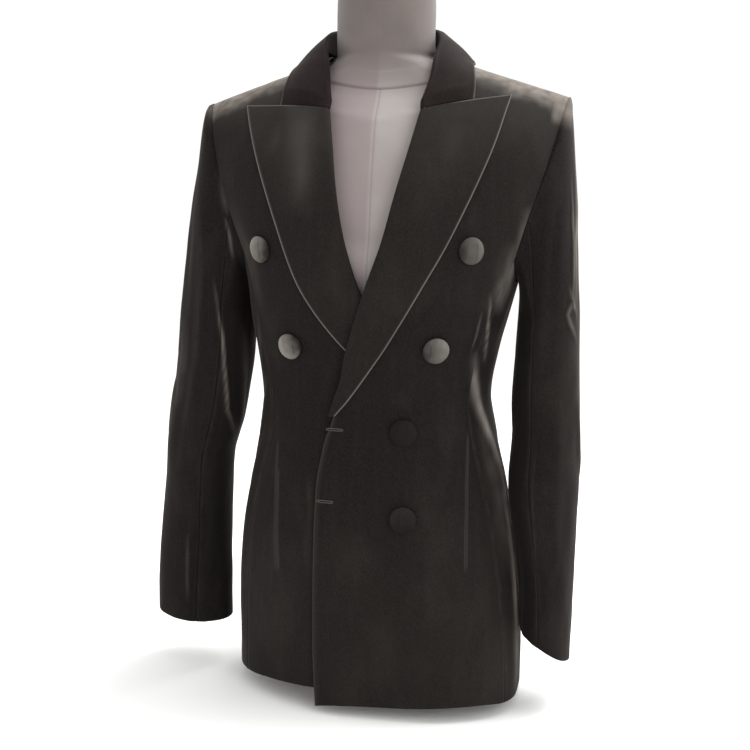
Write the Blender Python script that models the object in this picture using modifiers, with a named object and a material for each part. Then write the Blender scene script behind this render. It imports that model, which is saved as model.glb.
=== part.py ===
"""A velvet double-breasted blazer on a limbless dress form, one solid for each cut piece.

Metres, +Z up. The form faces -Y, so the wearer's left is +X. Every cloth piece is a wall of
one thickness, laid through sections that are worked out from the sizes below.
"""

import math

import bmesh
import bpy
import numpy as np
from mathutils import Matrix

# ---------------------------------------------------------------- driving sizes
WALL = 0.0020            # velvet with its interlining
SEAM_GAP = 0.0003        # between neighbouring pieces
ARMHOLE_LEVEL = 0.500    # height where the side panel meets the armhole
ARMHOLE_DIP = 0.026      # how far the armhole sinks below that under the arm
SECTION_POWER = 2.3      # 2 is an ellipse, more is boxier
RIDGE_DEPTH = 0.004      # the shoulder seam lies this far behind the middle
SHIFT_X = 0.02256        # puts the middle of the whole on the origin
SHIFT_Y = 0.00835
SIDES = {"left": 1.0, "right": -1.0}

BUTTON_WIDTH = 0.0285
BUTTON_HEIGHT = 0.0075

TORSO_ROWS = 18
UPPER_ROWS = 9


def table(columns, *rows):
    """A short table with named columns, one row for each section."""
    return {name: [row[i] for row in rows] for i, name in enumerate(columns.split())}


# The blazer's outer surface below the armhole level, and the surface that carries on above it.
# left_power squares the front quarter where the lapping front hangs stiffly.
BODY = table(
    "height centre half_width front back left_power",
    (0.000, 0.006, 0.165, 0.122, 0.118, 3.6),
    (0.060, 0.0055, 0.165, 0.121, 0.119, 3.4),
    (0.130, 0.003, 0.163, 0.118, 0.119, 2.9),
    (0.190, 0.0005, 0.157, 0.114, 0.113, 2.5),
    (0.250, -0.001, 0.147, 0.108, 0.102, 2.3),
    (0.300, -0.002, 0.135, 0.103, 0.093, 2.3),
    (0.345, -0.005, 0.1305, 0.101, 0.089, 2.3),
    (0.390, -0.005, 0.1365, 0.106, 0.090, 2.3),
    (0.430, -0.004, 0.145, 0.116, 0.096, 2.3),
    (0.470, -0.001, 0.152, 0.124, 0.104, 2.3),
    (0.500, 0.000, 0.160, 0.125, 0.109, 2.3),
    (0.550, 0.000, 0.184, 0.122, 0.113, 2.3),
    (0.610, 0.000, 0.204, 0.117, 0.113, 2.3),
    (0.670, 0.000, 0.214, 0.111, 0.108, 2.3),
    (0.730, 0.000, 0.218, 0.108, 0.102, 2.3),
)

# Angle from the centre front to the seams that bound the side panel.
SEAMS = table(
    "height front_seam back_seam",
    (0.000, 60.0, 118.0),
    (0.200, 58.0, 119.0),
    (0.345, 55.0, 121.0),
    (0.430, 59.0, 118.0),
    (0.500, 68.0, 114.0),
)

# How far the cloth stands off the form, measured from the blazer's outer surface.
EASE = table(
    "height ease",
    (0.000, 0.013),
    (0.200, 0.013),
    (0.345, 0.014),
    (0.500, 0.008),
)
SHOULDER_EASE = table("turn ease", (0, 0.0080), (30, 0.0065), (60, 0.0052), (80, 0.0046), (90, 0.0046))
NECK_EASE = 0.008        # more of it where the shoulder rises to the neck

# The armhole's outline seen from the front and from behind, from the side panel to the tip.
ARMHOLE = table(
    "rise front_across back_across",
    (0.00, 0.1500, 0.1480),
    (0.25, 0.1640, 0.1640),
    (0.50, 0.1780, 0.1770),
    (0.75, 0.1900, 0.1890),
    (1.00, 0.2000, 0.2000),
)


def smooth(xs, ys, x):
    """Cubic through the rows of a table, level past its ends."""
    if x <= xs[0]:
        return ys[0]
    if x >= xs[-1]:
        return ys[-1]
    i = max(k for k in range(len(xs) - 1) if xs[k] <= x)

    def slope(k):
        a, b = max(k - 1, 0), min(k + 1, len(xs) - 1)
        return (ys[b] - ys[a]) / (xs[b] - xs[a])

    width = xs[i + 1] - xs[i]
    t = (x - xs[i]) / width
    rise = ys[i + 1] - ys[i]
    start, stop = slope(i) * width, slope(i + 1) * width
    return ys[i] + t * (start + t * (3 * rise - 2 * start - stop + t * (start + stop - 2 * rise)))


def read(rows, column, at, by="height"):
    return smooth(rows[by], rows[column], at)


def signed_power(value, power):
    return math.copysign(abs(value) ** power, value)


def bump(x, low, high):
    """A soft hump, 1 in the middle of low..high and 0 at both ends."""
    t = (x - low) / (high - low)
    return math.sin(math.pi * t) ** 2 if 0.0 < t < 1.0 else 0.0


def ramp(x, low, high):
    """0 up to low, 1 from high, smooth between."""
    t = min(max((x - low) / (high - low), 0.0), 1.0)
    return t * t * (3.0 - 2.0 * t)


# ---------------------------------------------------------------- the fronts
# across is a distance from the middle towards the piece's own side, so a lap is negative.
SHOULDER_LINE = table(
    "across left right",
    (-0.035, 0.743, 0.743),
    (0.000, 0.765, 0.765),
    (0.035, 0.743, 0.743),
    (0.070, 0.7163, 0.7120),
    (0.100, 0.7065, 0.7015),
    (0.200, 0.6765, 0.6655),
)

FRONT_POWER = 2.2        # how soon the chest turns back to the shoulder
BACK_POWER = 2.6

# The front edge from the hem up to the break, then the roll of the lapel and collar.
FRONT_EDGE = {
    "left": table(
        "height across",
        (0.000, -0.0470),
        (0.080, -0.0520),
        (0.250, -0.0530),
        (0.300, -0.0450),
        (0.340, -0.0370),
        (0.375, -0.0260),
        (0.400, -0.0220),
        (0.464, -0.0020),
        (0.516, 0.0157),
        (0.567, 0.0275),
        (0.620, 0.0405),
        (0.660, 0.0490),
        (0.712, 0.0580),
    ),
    "right": table(
        "height across",
        (0.000, -0.0520),
        (0.250, -0.0530),
        (0.300, -0.0520),
        (0.340, -0.0490),
        (0.400, -0.0270),
        (0.464, 0.0040),
        (0.516, 0.0222),
        (0.567, 0.0335),
        (0.620, 0.0415),
        (0.660, 0.0488),
        (0.712, 0.0580),
    ),
}
BREAK = 0.335            # height where the lapel begins to turn back
ROLL_SETBACK = 0.0042    # the front stops this far inside its roll

# How far the lapping front stands off the one under it.
LAP = table(
    "height lift",
    (0.000, 0.0034),
    (0.270, 0.0034),
    (0.345, 0.0068),
    (0.480, 0.0068),
    (0.560, 0.0010),
    (0.600, 0.0000),
)
LAP_FULL, LAP_END = 0.075, 0.130

# Height of the hem at angles from the centre front.
HEM = {
    "left": table("angle height", (-20, 0.006), (-10, 0.011), (10, 0.016), (40, 0.018), (62, 0.014),
                  (90, 0.012), (130, 0.020), (180, 0.024)),
    "right": table("angle height", (-20, 0.030), (10, 0.028), (40, 0.026), (60, 0.022), (90, 0.018),
                   (180, 0.024)),
}

# Each lapel, row by row from its lower tip to its peak.
LAPEL = {
    "left": table(
        "step roll_height edge_height edge_across rise",
        (0.00, 0.330, 0.331, -0.0320, 0.0034),
        (0.10, 0.355, 0.352, -0.0160, 0.0036),
        (0.25, 0.405, 0.400, 0.0150, 0.0040),
        (0.45, 0.475, 0.465, 0.0530, 0.0050),
        (0.65, 0.545, 0.535, 0.0910, 0.0050),
        (0.85, 0.610, 0.612, 0.1232, 0.0045),
        (1.00, 0.655, 0.6735, 0.1400, 0.0046),
    ),
    "right": table(
        "step roll_height edge_height edge_across rise",
        (0.00, 0.345, 0.346, -0.0460, 0.0033),
        (0.10, 0.372, 0.372, -0.0170, 0.0033),
        (0.25, 0.410, 0.406, 0.0250, 0.0033),
        (0.45, 0.480, 0.468, 0.0720, 0.0040),
        (0.65, 0.550, 0.538, 0.1012, 0.0054),
        (0.85, 0.612, 0.605, 0.1275, 0.0054),
        (1.00, 0.655, 0.659, 0.1470, 0.0046),
    ),
}
LAPEL_CROWN = 0.001      # the top edge arches this much between roll and peak
LAPEL_EDGE_RISE = 0.0034
GORGE_GAP = 0.0004       # between the lapel's top edge and the collar

# The collar from the centre back round to its front end; the first row mirrors the third.
# turn runs over the shoulder: below 90 degrees on the front, 90 on the seam, above on the back.
COLLAR = table(
    "step crest_x crest_y crest_z stand edge_across edge_turn",
    (-0.10, 0.0300, 0.0710, 0.7580, 0.034, 0.0340, 126.0),
    (0.00, 0.0000, 0.0765, 0.7590, 0.035, 0.0000, 132.0),
    (0.10, 0.0300, 0.0710, 0.7580, 0.034, 0.0340, 126.0),
    (0.25, 0.0560, 0.0480, 0.7530, 0.031, 0.0700, 113.0),
    (0.45, 0.0650, -0.0020, 0.7400, 0.016, 0.0970, 95.0),
    (0.62, 0.0600, -0.0430, 0.7150, 0.006, 0.1000, 81.0),
    (0.80, 0.0565, -0.0670, 0.6880, 0.004, 0.1010, 68.0),
    (1.00, 0.0500, -0.0880, 0.6610, 0.003, 0.1015, 57.0),
)
CREST_RADIUS = 0.0032
COLLAR_SHIFT = -0.006    # the neck leans to the wearer's right
# What the leaf's edge is further across, on the shoulder and at the front.
COLLAR_REACH = {"left": (-0.0040, 0.0005), "right": (0.0040, 0.0040)}
COLLAR_BOW = 0.0055      # the leaf is a little rounded

NECKLINE = table("across height", (0.000, 0.7200), (0.030, 0.7185), (0.055, 0.7150), (0.070, 0.7105))

# Each sleeve below the armhole: its middle and half sizes.
SLEEVE = {
    "left": table(
        "height middle_x middle_y half_x half_y",
        (0.050, 0.1995, -0.030, 0.0275, 0.0500),
        (0.135, 0.1980, -0.026, 0.0300, 0.0500),
        (0.190, 0.1938, -0.022, 0.0340, 0.0490),
        (0.250, 0.1890, -0.016, 0.0395, 0.0500),
        (0.300, 0.1895, -0.010, 0.0380, 0.0530),
        (0.350, 0.1885, -0.005, 0.0375, 0.0560),
        (0.440, 0.1875, 0.000, 0.0335, 0.0620),
    ),
    "right": table(
        "height middle_x middle_y half_x half_y",
        (0.050, 0.2290, 0.020, 0.0450, 0.0400),
        (0.099, 0.2285, 0.019, 0.0450, 0.0410),
        (0.162, 0.2250, 0.016, 0.0425, 0.0430),
        (0.223, 0.2215, 0.012, 0.0400, 0.0460),
        (0.265, 0.2180, 0.008, 0.0400, 0.0480),
        (0.295, 0.2110, 0.005, 0.0430, 0.0500),
        (0.335, 0.2025, 0.002, 0.0430, 0.0530),
        (0.397, 0.1945, 0.000, 0.0420, 0.0580),
        (0.440, 0.1930, 0.000, 0.0390, 0.0600),
    ),
}
CUFF = {
    "left": {"outer": 0.054, "inner": 0.083},
    "right": {"outer": 0.062, "inner": 0.054},
}
CUFF_POWER = 1.6         # the cuff slants most on its outer side
CAP_FOOT = 0.440         # where the sleeve head has become a plain tube
CAP_ROWS = 6
UNDERARM_GAP = 0.0006
# How round the sleeve head is: 0 lets it fall straight, 1 is a ball. The second number is added
# at the very top.
HEAD_FULLNESS = {"left": (0.35, 0.0), "right": (0.30, 0.60)}
TUBE_ROWS = 11
UNDER_FROM, UNDER_TO = 122.0, 234.0   # the part of the sleeve that meets the side panel
FRONT_SEAM_TURN = 115.0  # round the sleeve from its outer side towards the front
BACK_SEAM_TURN = 235.0

# The form's chest and neck, above the level where the cloth alone gives its shape.
FORM_FRONT = table(
    "height front",
    (0.560, 0.118),
    (0.600, 0.108),
    (0.635, 0.092),
    (0.665, 0.064),
    (0.680, 0.053),
    (0.700, 0.0485),
)
NECK = table(
    "height radius middle_x middle_y",
    (0.716, 0.0545, -0.003, 0.006),
    (0.735, 0.0545, -0.004, 0.006),
    (0.755, 0.0545, -0.004, 0.006),
    (0.775, 0.0545, -0.004, 0.006),
    (0.786, 0.0530, -0.004, 0.006),
    (0.790, 0.0500, -0.004, 0.006),
)
BASE = table("height share", (0.000, 0.58), (0.024, 0.58), (0.030, 0.60), (0.042, 0.86), (0.060, 0.97),
             (0.085, 1.00))
FORM_HEIGHTS = (0.0, 0.024, 0.030, 0.036, 0.042, 0.050, 0.060, 0.085, 0.12, 0.16, 0.20, 0.24, 0.28,
                0.315, 0.345, 0.375, 0.405, 0.435, 0.465, 0.50, 0.535, 0.57, 0.605, 0.635, 0.652,
                0.664, 0.674, 0.683, 0.691, 0.698, 0.704, 0.710)
FORM_SEGMENTS = 6        # in each quarter of a ring
ARM_PLATE_INSET = 0.004
RIDGE_EASE = 0.0030      # the form's shoulder carries the cloth

BUTTONS = (              # side of the front that carries it, across, height, seat above the cloth
    ("right", 0.1190, 0.507, 0.0006),
    ("right", 0.0850, 0.404, 0.0007),
    ("left", 0.1050, 0.512, 0.0010),
    ("left", 0.0700, 0.409, 0.0008),
    ("left", 0.0395, 0.316, 0.0010),
    ("left", 0.0430, 0.222, 0.0006),
)

# Soft folds of the body: at an angle round it, between two heights, with a width and a height.
BODY_FOLDS = (
    # side, angle, lean in degrees, low, high, width in degrees, rise
    ("left", 62.0, -6.0, 0.300, 0.490, 7.0, 0.0030),
    ("left", 48.0, 10.0, 0.270, 0.430, 6.0, -0.0020),
)

# Soft folds of the sleeves.
SLEEVE_FOLDS = (
    # side, turn from the outer side to the front, lean, low, high, width, rise
    ("right", 100.0, -30.0, 0.280, 0.500, 16.0, 0.0030),
    ("left", 60.0, 10.0, 0.300, 0.560, 16.0, -0.0025),
)


# ---------------------------------------------------------------- the blazer's surface
def body_size(z):
    return [read(BODY, name, z) for name in ("centre", "half_width", "front", "back")]


def shoulder_height(side, across):
    return smooth(SHOULDER_LINE["across"], SHOULDER_LINE[side], abs(across))


def body_fold(side, angle, z):
    total = 0.0
    for where, middle, lean, low, high, width, rise in BODY_FOLDS:
        if where == side and low < z < high:
            centre = middle + lean * (z - low) / (high - low)
            total += rise * math.exp(-(((angle - centre) / width) ** 2)) * bump(z, low, high)
    return total


def section_power(side, angle, z):
    """How boxy the section is: more so where the lapping front hangs."""
    if side == "left" and 0.0 < angle < 90.0:
        return read(BODY, "left_power", z)
    return SECTION_POWER


def section_point(side, angle, z):
    """A point on the blazer's outer surface, up to the armhole level."""
    centre, half, front, back = body_size(z)
    turn = math.radians(angle)
    depth = front if math.cos(turn) > 0 else back
    power = section_power(side, angle, z)
    fold = body_fold(side, angle, z)
    across = (half + fold) * signed_power(math.sin(turn), 2 / power)
    out = (depth + fold) * signed_power(math.cos(turn), 2 / power)
    return np.array([centre + SIDES[side] * across, -out, z])


def angle_at(side, across, z):
    """The angle whose point lies this far across on the front."""
    centre, half, _, _ = body_size(z)
    share = (across - SIDES[side] * centre) / half
    power = section_power(side, math.copysign(45.0, share), z)
    return math.degrees(math.asin(signed_power(share, power / 2)))


def chest_point(side, across, turn):
    """A point above the armhole level; turn runs from 0 in front over the seam to 180 behind."""
    behind = turn > 90.0
    power = BACK_POWER if behind else FRONT_POWER
    lift = math.radians(180.0 - turn if behind else turn)
    rise = max(math.sin(lift), 0.0) ** (2 / power)
    sink = max(math.cos(lift), 0.0) ** (2 / power)
    z = ARMHOLE_LEVEL + (shoulder_height(side, across) - ARMHOLE_LEVEL) * rise
    _, half, front, back = body_size(z)
    share = min(abs(across) / half, 1.0)
    flat = (back if behind else -front) * (1 - share ** SECTION_POWER) ** (1 / SECTION_POWER)
    return np.array([SIDES[side] * across, RIDGE_DEPTH + (flat - RIDGE_DEPTH) * sink, z])


def turn_at(side, across, z, behind=False):
    """The turn whose point has this height."""
    power = BACK_POWER if behind else FRONT_POWER
    rise = (z - ARMHOLE_LEVEL) / (shoulder_height(side, across) - ARMHOLE_LEVEL)
    lift = math.degrees(math.asin(min(max(rise, 0.0), 1.0) ** (power / 2)))
    return 180.0 - lift if behind else lift


def front_point(side, across, z):
    """A point on the front, given as it is seen from the front."""
    if z > ARMHOLE_LEVEL:
        return chest_point(side, across, turn_at(side, across, z))
    return section_point(side, angle_at(side, across, z), z)


def lap_lift(side, across, z):
    """How far the lapping front stands off the surface here."""
    if side == "right":
        return 0.0
    return read(LAP, "lift", z) * (1.0 - ramp(across, LAP_FULL, LAP_END))


def unit(vector):
    return vector / np.linalg.norm(vector)


def front_normal(side, across, z):
    step = 0.0005
    aside = front_point(side, across + step, z) - front_point(side, across - step, z)
    above = front_point(side, across, z + step) - front_point(side, across, z - step)
    normal = np.cross(aside, above) * SIDES[side]
    return unit(normal)


def lap_point(side, across, z):
    """A point of the front's outer side, with its lift where it laps over the other."""
    lift = lap_lift(side, across, z)
    return front_point(side, across, z) + front_normal(side, across, z) * lift


def raised(side, across, z, rise):
    """A point that stands off the front by rise."""
    return front_point(side, across, z) + front_normal(side, across, z) * rise


# ---------------------------------------------------------------- walls
def surface_grid(surface, rows, columns):
    """Points and normals of surface(u, v) on an even grid, u along columns and v along rows."""
    step = 1e-3
    points = np.zeros((rows + 1, columns + 1, 3))
    normals = np.zeros_like(points)
    for j in range(rows + 1):
        for i in range(columns + 1):
            u, v = i / columns, j / rows
            points[j, i] = surface(u, v)
            u0, u1 = max(u - step, 0.0), min(u + step, 1.0)
            v0, v1 = max(v - step, 0.0), min(v + step, 1.0)
            along = surface(u1, v) - surface(u0, v)
            up = surface(u, v1) - surface(u, v0)
            normals[j, i] = unit(np.cross(along, up))
    return points, normals


def square_to(direction, normals):
    """The normals with their part along direction taken away."""
    flat = normals - np.outer(normals @ direction, direction)
    return flat / np.linalg.norm(flat, axis=1, keepdims=True)


def grid_normals(points, wrap=False):
    """Normals worked out from the grid's own neighbours."""
    if wrap:
        along = np.roll(points, -1, axis=1) - np.roll(points, 1, axis=1)
    else:
        along = np.gradient(points, axis=1)
    up = np.gradient(points, axis=0)
    normals = np.cross(along, up)
    return normals / np.linalg.norm(normals, axis=2, keepdims=True)


def pull_in(points, normals, edges):
    """Draw the named border rows or columns back by half the seam gap."""
    moved = points.copy()
    lines = {
        "bottom": ((0, slice(None)), (1, slice(None))),
        "top": ((-1, slice(None)), (-2, slice(None))),
        "first": ((slice(None), 0), (slice(None), 1)),
        "last": ((slice(None), -1), (slice(None), -2)),
    }
    for name in edges.split():
        border, inside = lines[name]
        inward = np.cross(normals[border], np.gradient(points[border], axis=0))
        inward /= np.linalg.norm(inward, axis=-1, keepdims=True)
        if np.sum(inward * (points[inside] - points[border])) < 0:
            inward = -inward
        moved[border] += inward * SEAM_GAP / 2
    return moved


def add_object(name, mesh_maker, material, parent):
    """Make an object from a bmesh and put it in the blazer's collection."""
    mesh = bpy.data.meshes.new(name)
    mesh_maker.to_mesh(mesh)
    mesh_maker.free()
    mesh.materials.append(material)
    piece = bpy.data.objects.new(name, mesh)
    bpy.data.collections["velvet_blazer"].objects.link(piece)
    piece.parent = parent
    mesh.shade_smooth()
    mesh.set_sharp_from_angle(angle=math.radians(40))
    return piece


def cloth_wall(name, outer, normals, material, parent, thickness=WALL):
    """One closed wall: an outer grid, the same grid moved in, and the rim between them."""
    rows, columns, _ = outer.shape
    inner = outer - normals * thickness
    maker = bmesh.new()
    layers = []
    for grid in (outer, inner):
        layers.append([[maker.verts.new(grid[j, i]) for i in range(columns)] for j in range(rows)])
    for j in range(rows - 1):
        for i in range(columns - 1):
            corners = ((j, i), (j, i + 1), (j + 1, i + 1), (j + 1, i))
            maker.faces.new([layers[0][a][b] for a, b in corners])
            maker.faces.new([layers[1][a][b] for a, b in reversed(corners)])
    border = [(0, i) for i in range(columns)]
    border += [(j, columns - 1) for j in range(1, rows)]
    border += [(rows - 1, i) for i in range(columns - 2, -1, -1)]
    border += [(j, 0) for j in range(rows - 2, 0, -1)]
    for here, there in zip(border, border[1:] + border[:1]):
        maker.faces.new([layers[0][there[0]][there[1]], layers[0][here[0]][here[1]],
                         layers[1][here[0]][here[1]], layers[1][there[0]][there[1]]])
    bmesh.ops.recalc_face_normals(maker, faces=maker.faces)
    return add_object(name, maker, material, parent)


# ---------------------------------------------------------------- body panels
def edge_across(side, z):
    """The inner border of a front: its edge below the break, and behind the roll above it."""
    setback = ROLL_SETBACK * ramp(z, BREAK - 0.035, BREAK - 0.010)
    return read(FRONT_EDGE[side], "across", z) + setback


def body_point(side, angle, z, across):
    """A point of the shared surface, stood off where this front laps over the other."""
    point = section_point(side, angle, z)
    lift = lap_lift(side, across, z)
    if lift > 0:
        point = point + front_normal(side, across, z) * lift
    return point


def front_surface(side):
    """surface(u, v) of a front: u from its edge to the side seam and armhole, v from hem to seam."""
    share = TORSO_ROWS / (TORSO_ROWS + UPPER_ROWS)
    first = angle_at(side, edge_across(side, ARMHOLE_LEVEL), ARMHOLE_LEVEL)
    last = read(SEAMS, "front_seam", ARMHOLE_LEVEL)
    near, far = edge_across(side, ARMHOLE_LEVEL), read(ARMHOLE, "front_across", 0.0, by="rise")

    def level_across(u):
        point = section_point(side, first + (last - first) * u, ARMHOLE_LEVEL)
        return SIDES[side] * point[0]

    end = level_across(1.0)

    def surface(u, v):
        if v <= share:
            w = v / share
            z = read(HEM[side], "height", 0.0, by="angle") * (1 - w) + ARMHOLE_LEVEL * w
            for _ in range(2):
                start = angle_at(side, edge_across(side, z), z)
                angle = start + (read(SEAMS, "front_seam", z) - start) * u
                z = read(HEM[side], "height", angle, by="angle") * (1 - w) + ARMHOLE_LEVEL * w
            across = SIDES[side] * section_point(side, angle, z)[0]
            return body_point(side, angle, z, across)
        turn = 90.0 * (v - share) / (1 - share)
        rise = math.sin(math.radians(turn)) ** (2 / FRONT_POWER)
        outer = end + read(ARMHOLE, "front_across", rise, by="rise") - far
        inner = near
        for _ in range(4):
            inner = edge_across(side, chest_point(side, inner, turn)[2])
        part = (level_across(u) - near) / (end - near)
        across = inner + (outer - inner) * part
        point = chest_point(side, across, turn)
        lift = lap_lift(side, across, point[2])
        return point + front_normal(side, across, point[2]) * lift if lift > 0 else point

    return surface


def side_surface(side):
    """surface(u, v) of the panel under the arm: u from front to back, v from hem to armhole."""

    def surface(u, v):
        z = ARMHOLE_LEVEL * v
        for _ in range(3):
            front, back = read(SEAMS, "front_seam", z), read(SEAMS, "back_seam", z)
            angle = front + (back - front) * u
            top = ARMHOLE_LEVEL - ARMHOLE_DIP * (1 - (2 * u - 1) ** 2)
            z = read(HEM[side], "height", angle, by="angle") * (1 - v) + top * v
        return section_point(side, angle, z)

    return surface


def back_surface(side):
    """surface(u, v) of a back: u from the side panel to the centre seam, v from hem to shoulder."""
    share = TORSO_ROWS / (TORSO_ROWS + UPPER_ROWS)
    first = read(SEAMS, "back_seam", ARMHOLE_LEVEL)
    start = SIDES[side] * section_point(side, first, ARMHOLE_LEVEL)[0]
    base = read(ARMHOLE, "back_across", 0.0, by="rise")

    def surface(u, v):
        if v <= share:
            w = v / share
            z = ARMHOLE_LEVEL * w
            for _ in range(3):
                seam = read(SEAMS, "back_seam", z)
                angle = seam + (180.0 - seam) * u
                z = read(HEM[side], "height", angle, by="angle") * (1 - w) + ARMHOLE_LEVEL * w
            return section_point(side, angle, z)
        w = (v - share) / (1 - share)
        level = SIDES[side] * section_point(side, first + (180.0 - first) * u, ARMHOLE_LEVEL)[0]
        part = level / start
        across = level
        for _ in range(3):
            top = 180.0 - turn_at(side, across, neck_height(side, across), behind=True)
            rise = math.sin(math.radians(top * w)) ** (2 / BACK_POWER)
            outer = start + read(ARMHOLE, "back_across", rise, by="rise") - base
            across = outer * part
        return chest_point(side, across, 180.0 - top * w)

    return surface


def neck_height(side, across):
    """Height of the back's top edge: the neckline, then the shoulder seam."""
    if across < NECKLINE["across"][-1]:
        return min(read(NECKLINE, "height", across, by="across"), shoulder_height(side, across))
    return shoulder_height(side, across)


FRONT_COLUMNS, SIDE_COLUMNS, BACK_COLUMNS = 9, 4, 7


def seam_normals(line):
    """Upright normals along the shoulder seam, the same for the front and the back."""
    along = np.gradient(line, axis=0)
    along /= np.linalg.norm(along, axis=1, keepdims=True)
    upright = np.array([0.0, 0.0, 1.0]) - along * along[:, 2:]
    return upright / np.linalg.norm(upright, axis=1, keepdims=True)


def body_panels(side, cloth, parent):
    """Front, side panel and back of one side; returns the armhole's ring of points."""
    rows = TORSO_ROWS + UPPER_ROWS
    front, front_normals = surface_grid(front_surface(side), rows, FRONT_COLUMNS)
    panel, panel_normals = surface_grid(side_surface(side), TORSO_ROWS, SIDE_COLUMNS)
    back, back_normals = surface_grid(back_surface(side), rows, BACK_COLUMNS)
    ring = list(front[:TORSO_ROWS - 1:-1, -1])
    ring += list(panel[-1, 1:-1])
    ring += list(back[TORSO_ROWS:-1, 0])
    if side == "right":
        front_normals, panel_normals, back_normals = -front_normals, -panel_normals, -back_normals
    front_normals[-1] = seam_normals(front[-1])
    on_seam = np.abs(back[-1, :, 0]) > NECKLINE["across"][-1]
    back_normals[-1, on_seam] = seam_normals(back[-1])[on_seam]
    back_normals[:, -1, 0] = 0.0
    back_normals[:, -1] /= np.linalg.norm(back_normals[:, -1], axis=1, keepdims=True)
    pieces = (
        ("front", front, front_normals, "top last"),
        ("side", panel, panel_normals, "top first last"),
        ("back", back, back_normals, "top first last"),
    )
    for name, points, normals, seams in pieces:
        cloth_wall(f"{name}_{side}", pull_in(points, normals, seams), normals, cloth, parent)
    return np.array(ring)


# ---------------------------------------------------------------- lapels and collar
def lapel(side, cloth, parent):
    """A lapel: it turns up at the roll and lies back over the front to its outer edge."""
    rows, spread = 15, (0.0, 0.0, 0.0028, 0.0090)
    leaf_columns = 6
    reach = LAPEL[side]
    grid = np.zeros((rows, len(spread) + leaf_columns, 3))
    for j in range(rows):
        step = j / (rows - 1)
        roll_z, edge_z, edge_x, rise = [
            read(reach, name, step, by="step")
            for name in ("roll_height", "edge_height", "edge_across", "rise")
        ]
        roll_x = read(FRONT_EDGE[side], "across", roll_z)
        width = edge_x - roll_x
        heights = (-0.0010, rise * 0.5, rise * 0.95, rise)
        shares = [min(away / width, 0.1 * k) for k, away in enumerate(spread)]
        start = shares[-1]
        shares += [start + (1 - start) * (k + 1) / leaf_columns for k in range(leaf_columns)]
        for i, share in enumerate(shares):
            x = roll_x + width * share
            z = roll_z + (edge_z - roll_z) * share + LAPEL_CROWN * step ** 6 * math.sin(math.pi * share)
            if i < len(heights):
                off = heights[i]
            else:
                off = rise + (LAPEL_EDGE_RISE - rise) * (share - start) / (1 - start)
            grid[j, i] = raised(side, x, z, off + lap_lift(side, x, z))
    normals = grid_normals(grid)
    if side == "right":
        normals = -normals
    grid[-1] -= gorge_up(side) * GORGE_GAP / 2
    normals[-1] = square_to(gorge_up(side), normals[-1])
    cloth_wall(f"lapel_{side}", grid, normals, cloth, parent)


def gorge_point(side, across, rise):
    """A point of the seam where the collar meets the lapel's top edge."""
    reach = LAPEL[side]
    roll = read(FRONT_EDGE[side], "across", reach["roll_height"][-1])
    share = (across - roll) / (reach["edge_across"][-1] - roll)
    low, high = reach["roll_height"][-1], reach["edge_height"][-1]
    z = low + (high - low) * share + LAPEL_CROWN * math.sin(math.pi * share)
    return raised(side, across, z, rise)


def gorge_up(side):
    """The direction square to the gorge, up along the front."""
    return unit(front_point(side, 0.075, 0.667) - front_point(side, 0.075, 0.661))


def collar(cloth, parent):
    """Stand and leaf in one wall, from one gorge round the neck to the other."""
    half_rows = 11
    halves = {}
    for side in SIDES:
        steps = [j / half_rows for j in range(half_rows)]
        halves[side] = [collar_section(side, step) for step in steps] + [collar_end(side)]
    grid = np.array(halves["right"][:0:-1] + halves["left"])
    normals = grid_normals(grid)
    if np.dot(normals[half_rows, 4], (0.0, 0.3, 1.0)) < 0:
        normals = -normals
    for side, row in (("right", 0), ("left", -1)):
        normals[row] = square_to(gorge_up(side), normals[row])
    cloth_wall("collar", grid, normals, cloth, parent)


def collar_end(side):
    """The collar's front end, which carries on the lapel's roll."""
    roll = read(FRONT_EDGE[side], "across", LAPEL[side]["roll_height"][-1])
    edge = COLLAR["edge_across"][-1] + COLLAR_REACH[side][1]
    rise = LAPEL[side]["rise"][-1]
    spread = ((0.0, -0.0020), (0.0, -0.0005), (0.0, 0.0010), (0.0006, 0.0026), (0.0022, rise),
              (0.0060, rise + 0.0004))
    away = gorge_up(side) * GORGE_GAP / 2
    points = [gorge_point(side, roll + across, off) + away for across, off in spread]
    start = roll + spread[-1][0]
    for share in (0.25, 0.5, 0.75, 1.0):
        off = LAPEL_EDGE_RISE + 0.0008 * (1 - share)
        points.append(gorge_point(side, start + (edge - start) * share, off) + away)
    return points


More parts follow.
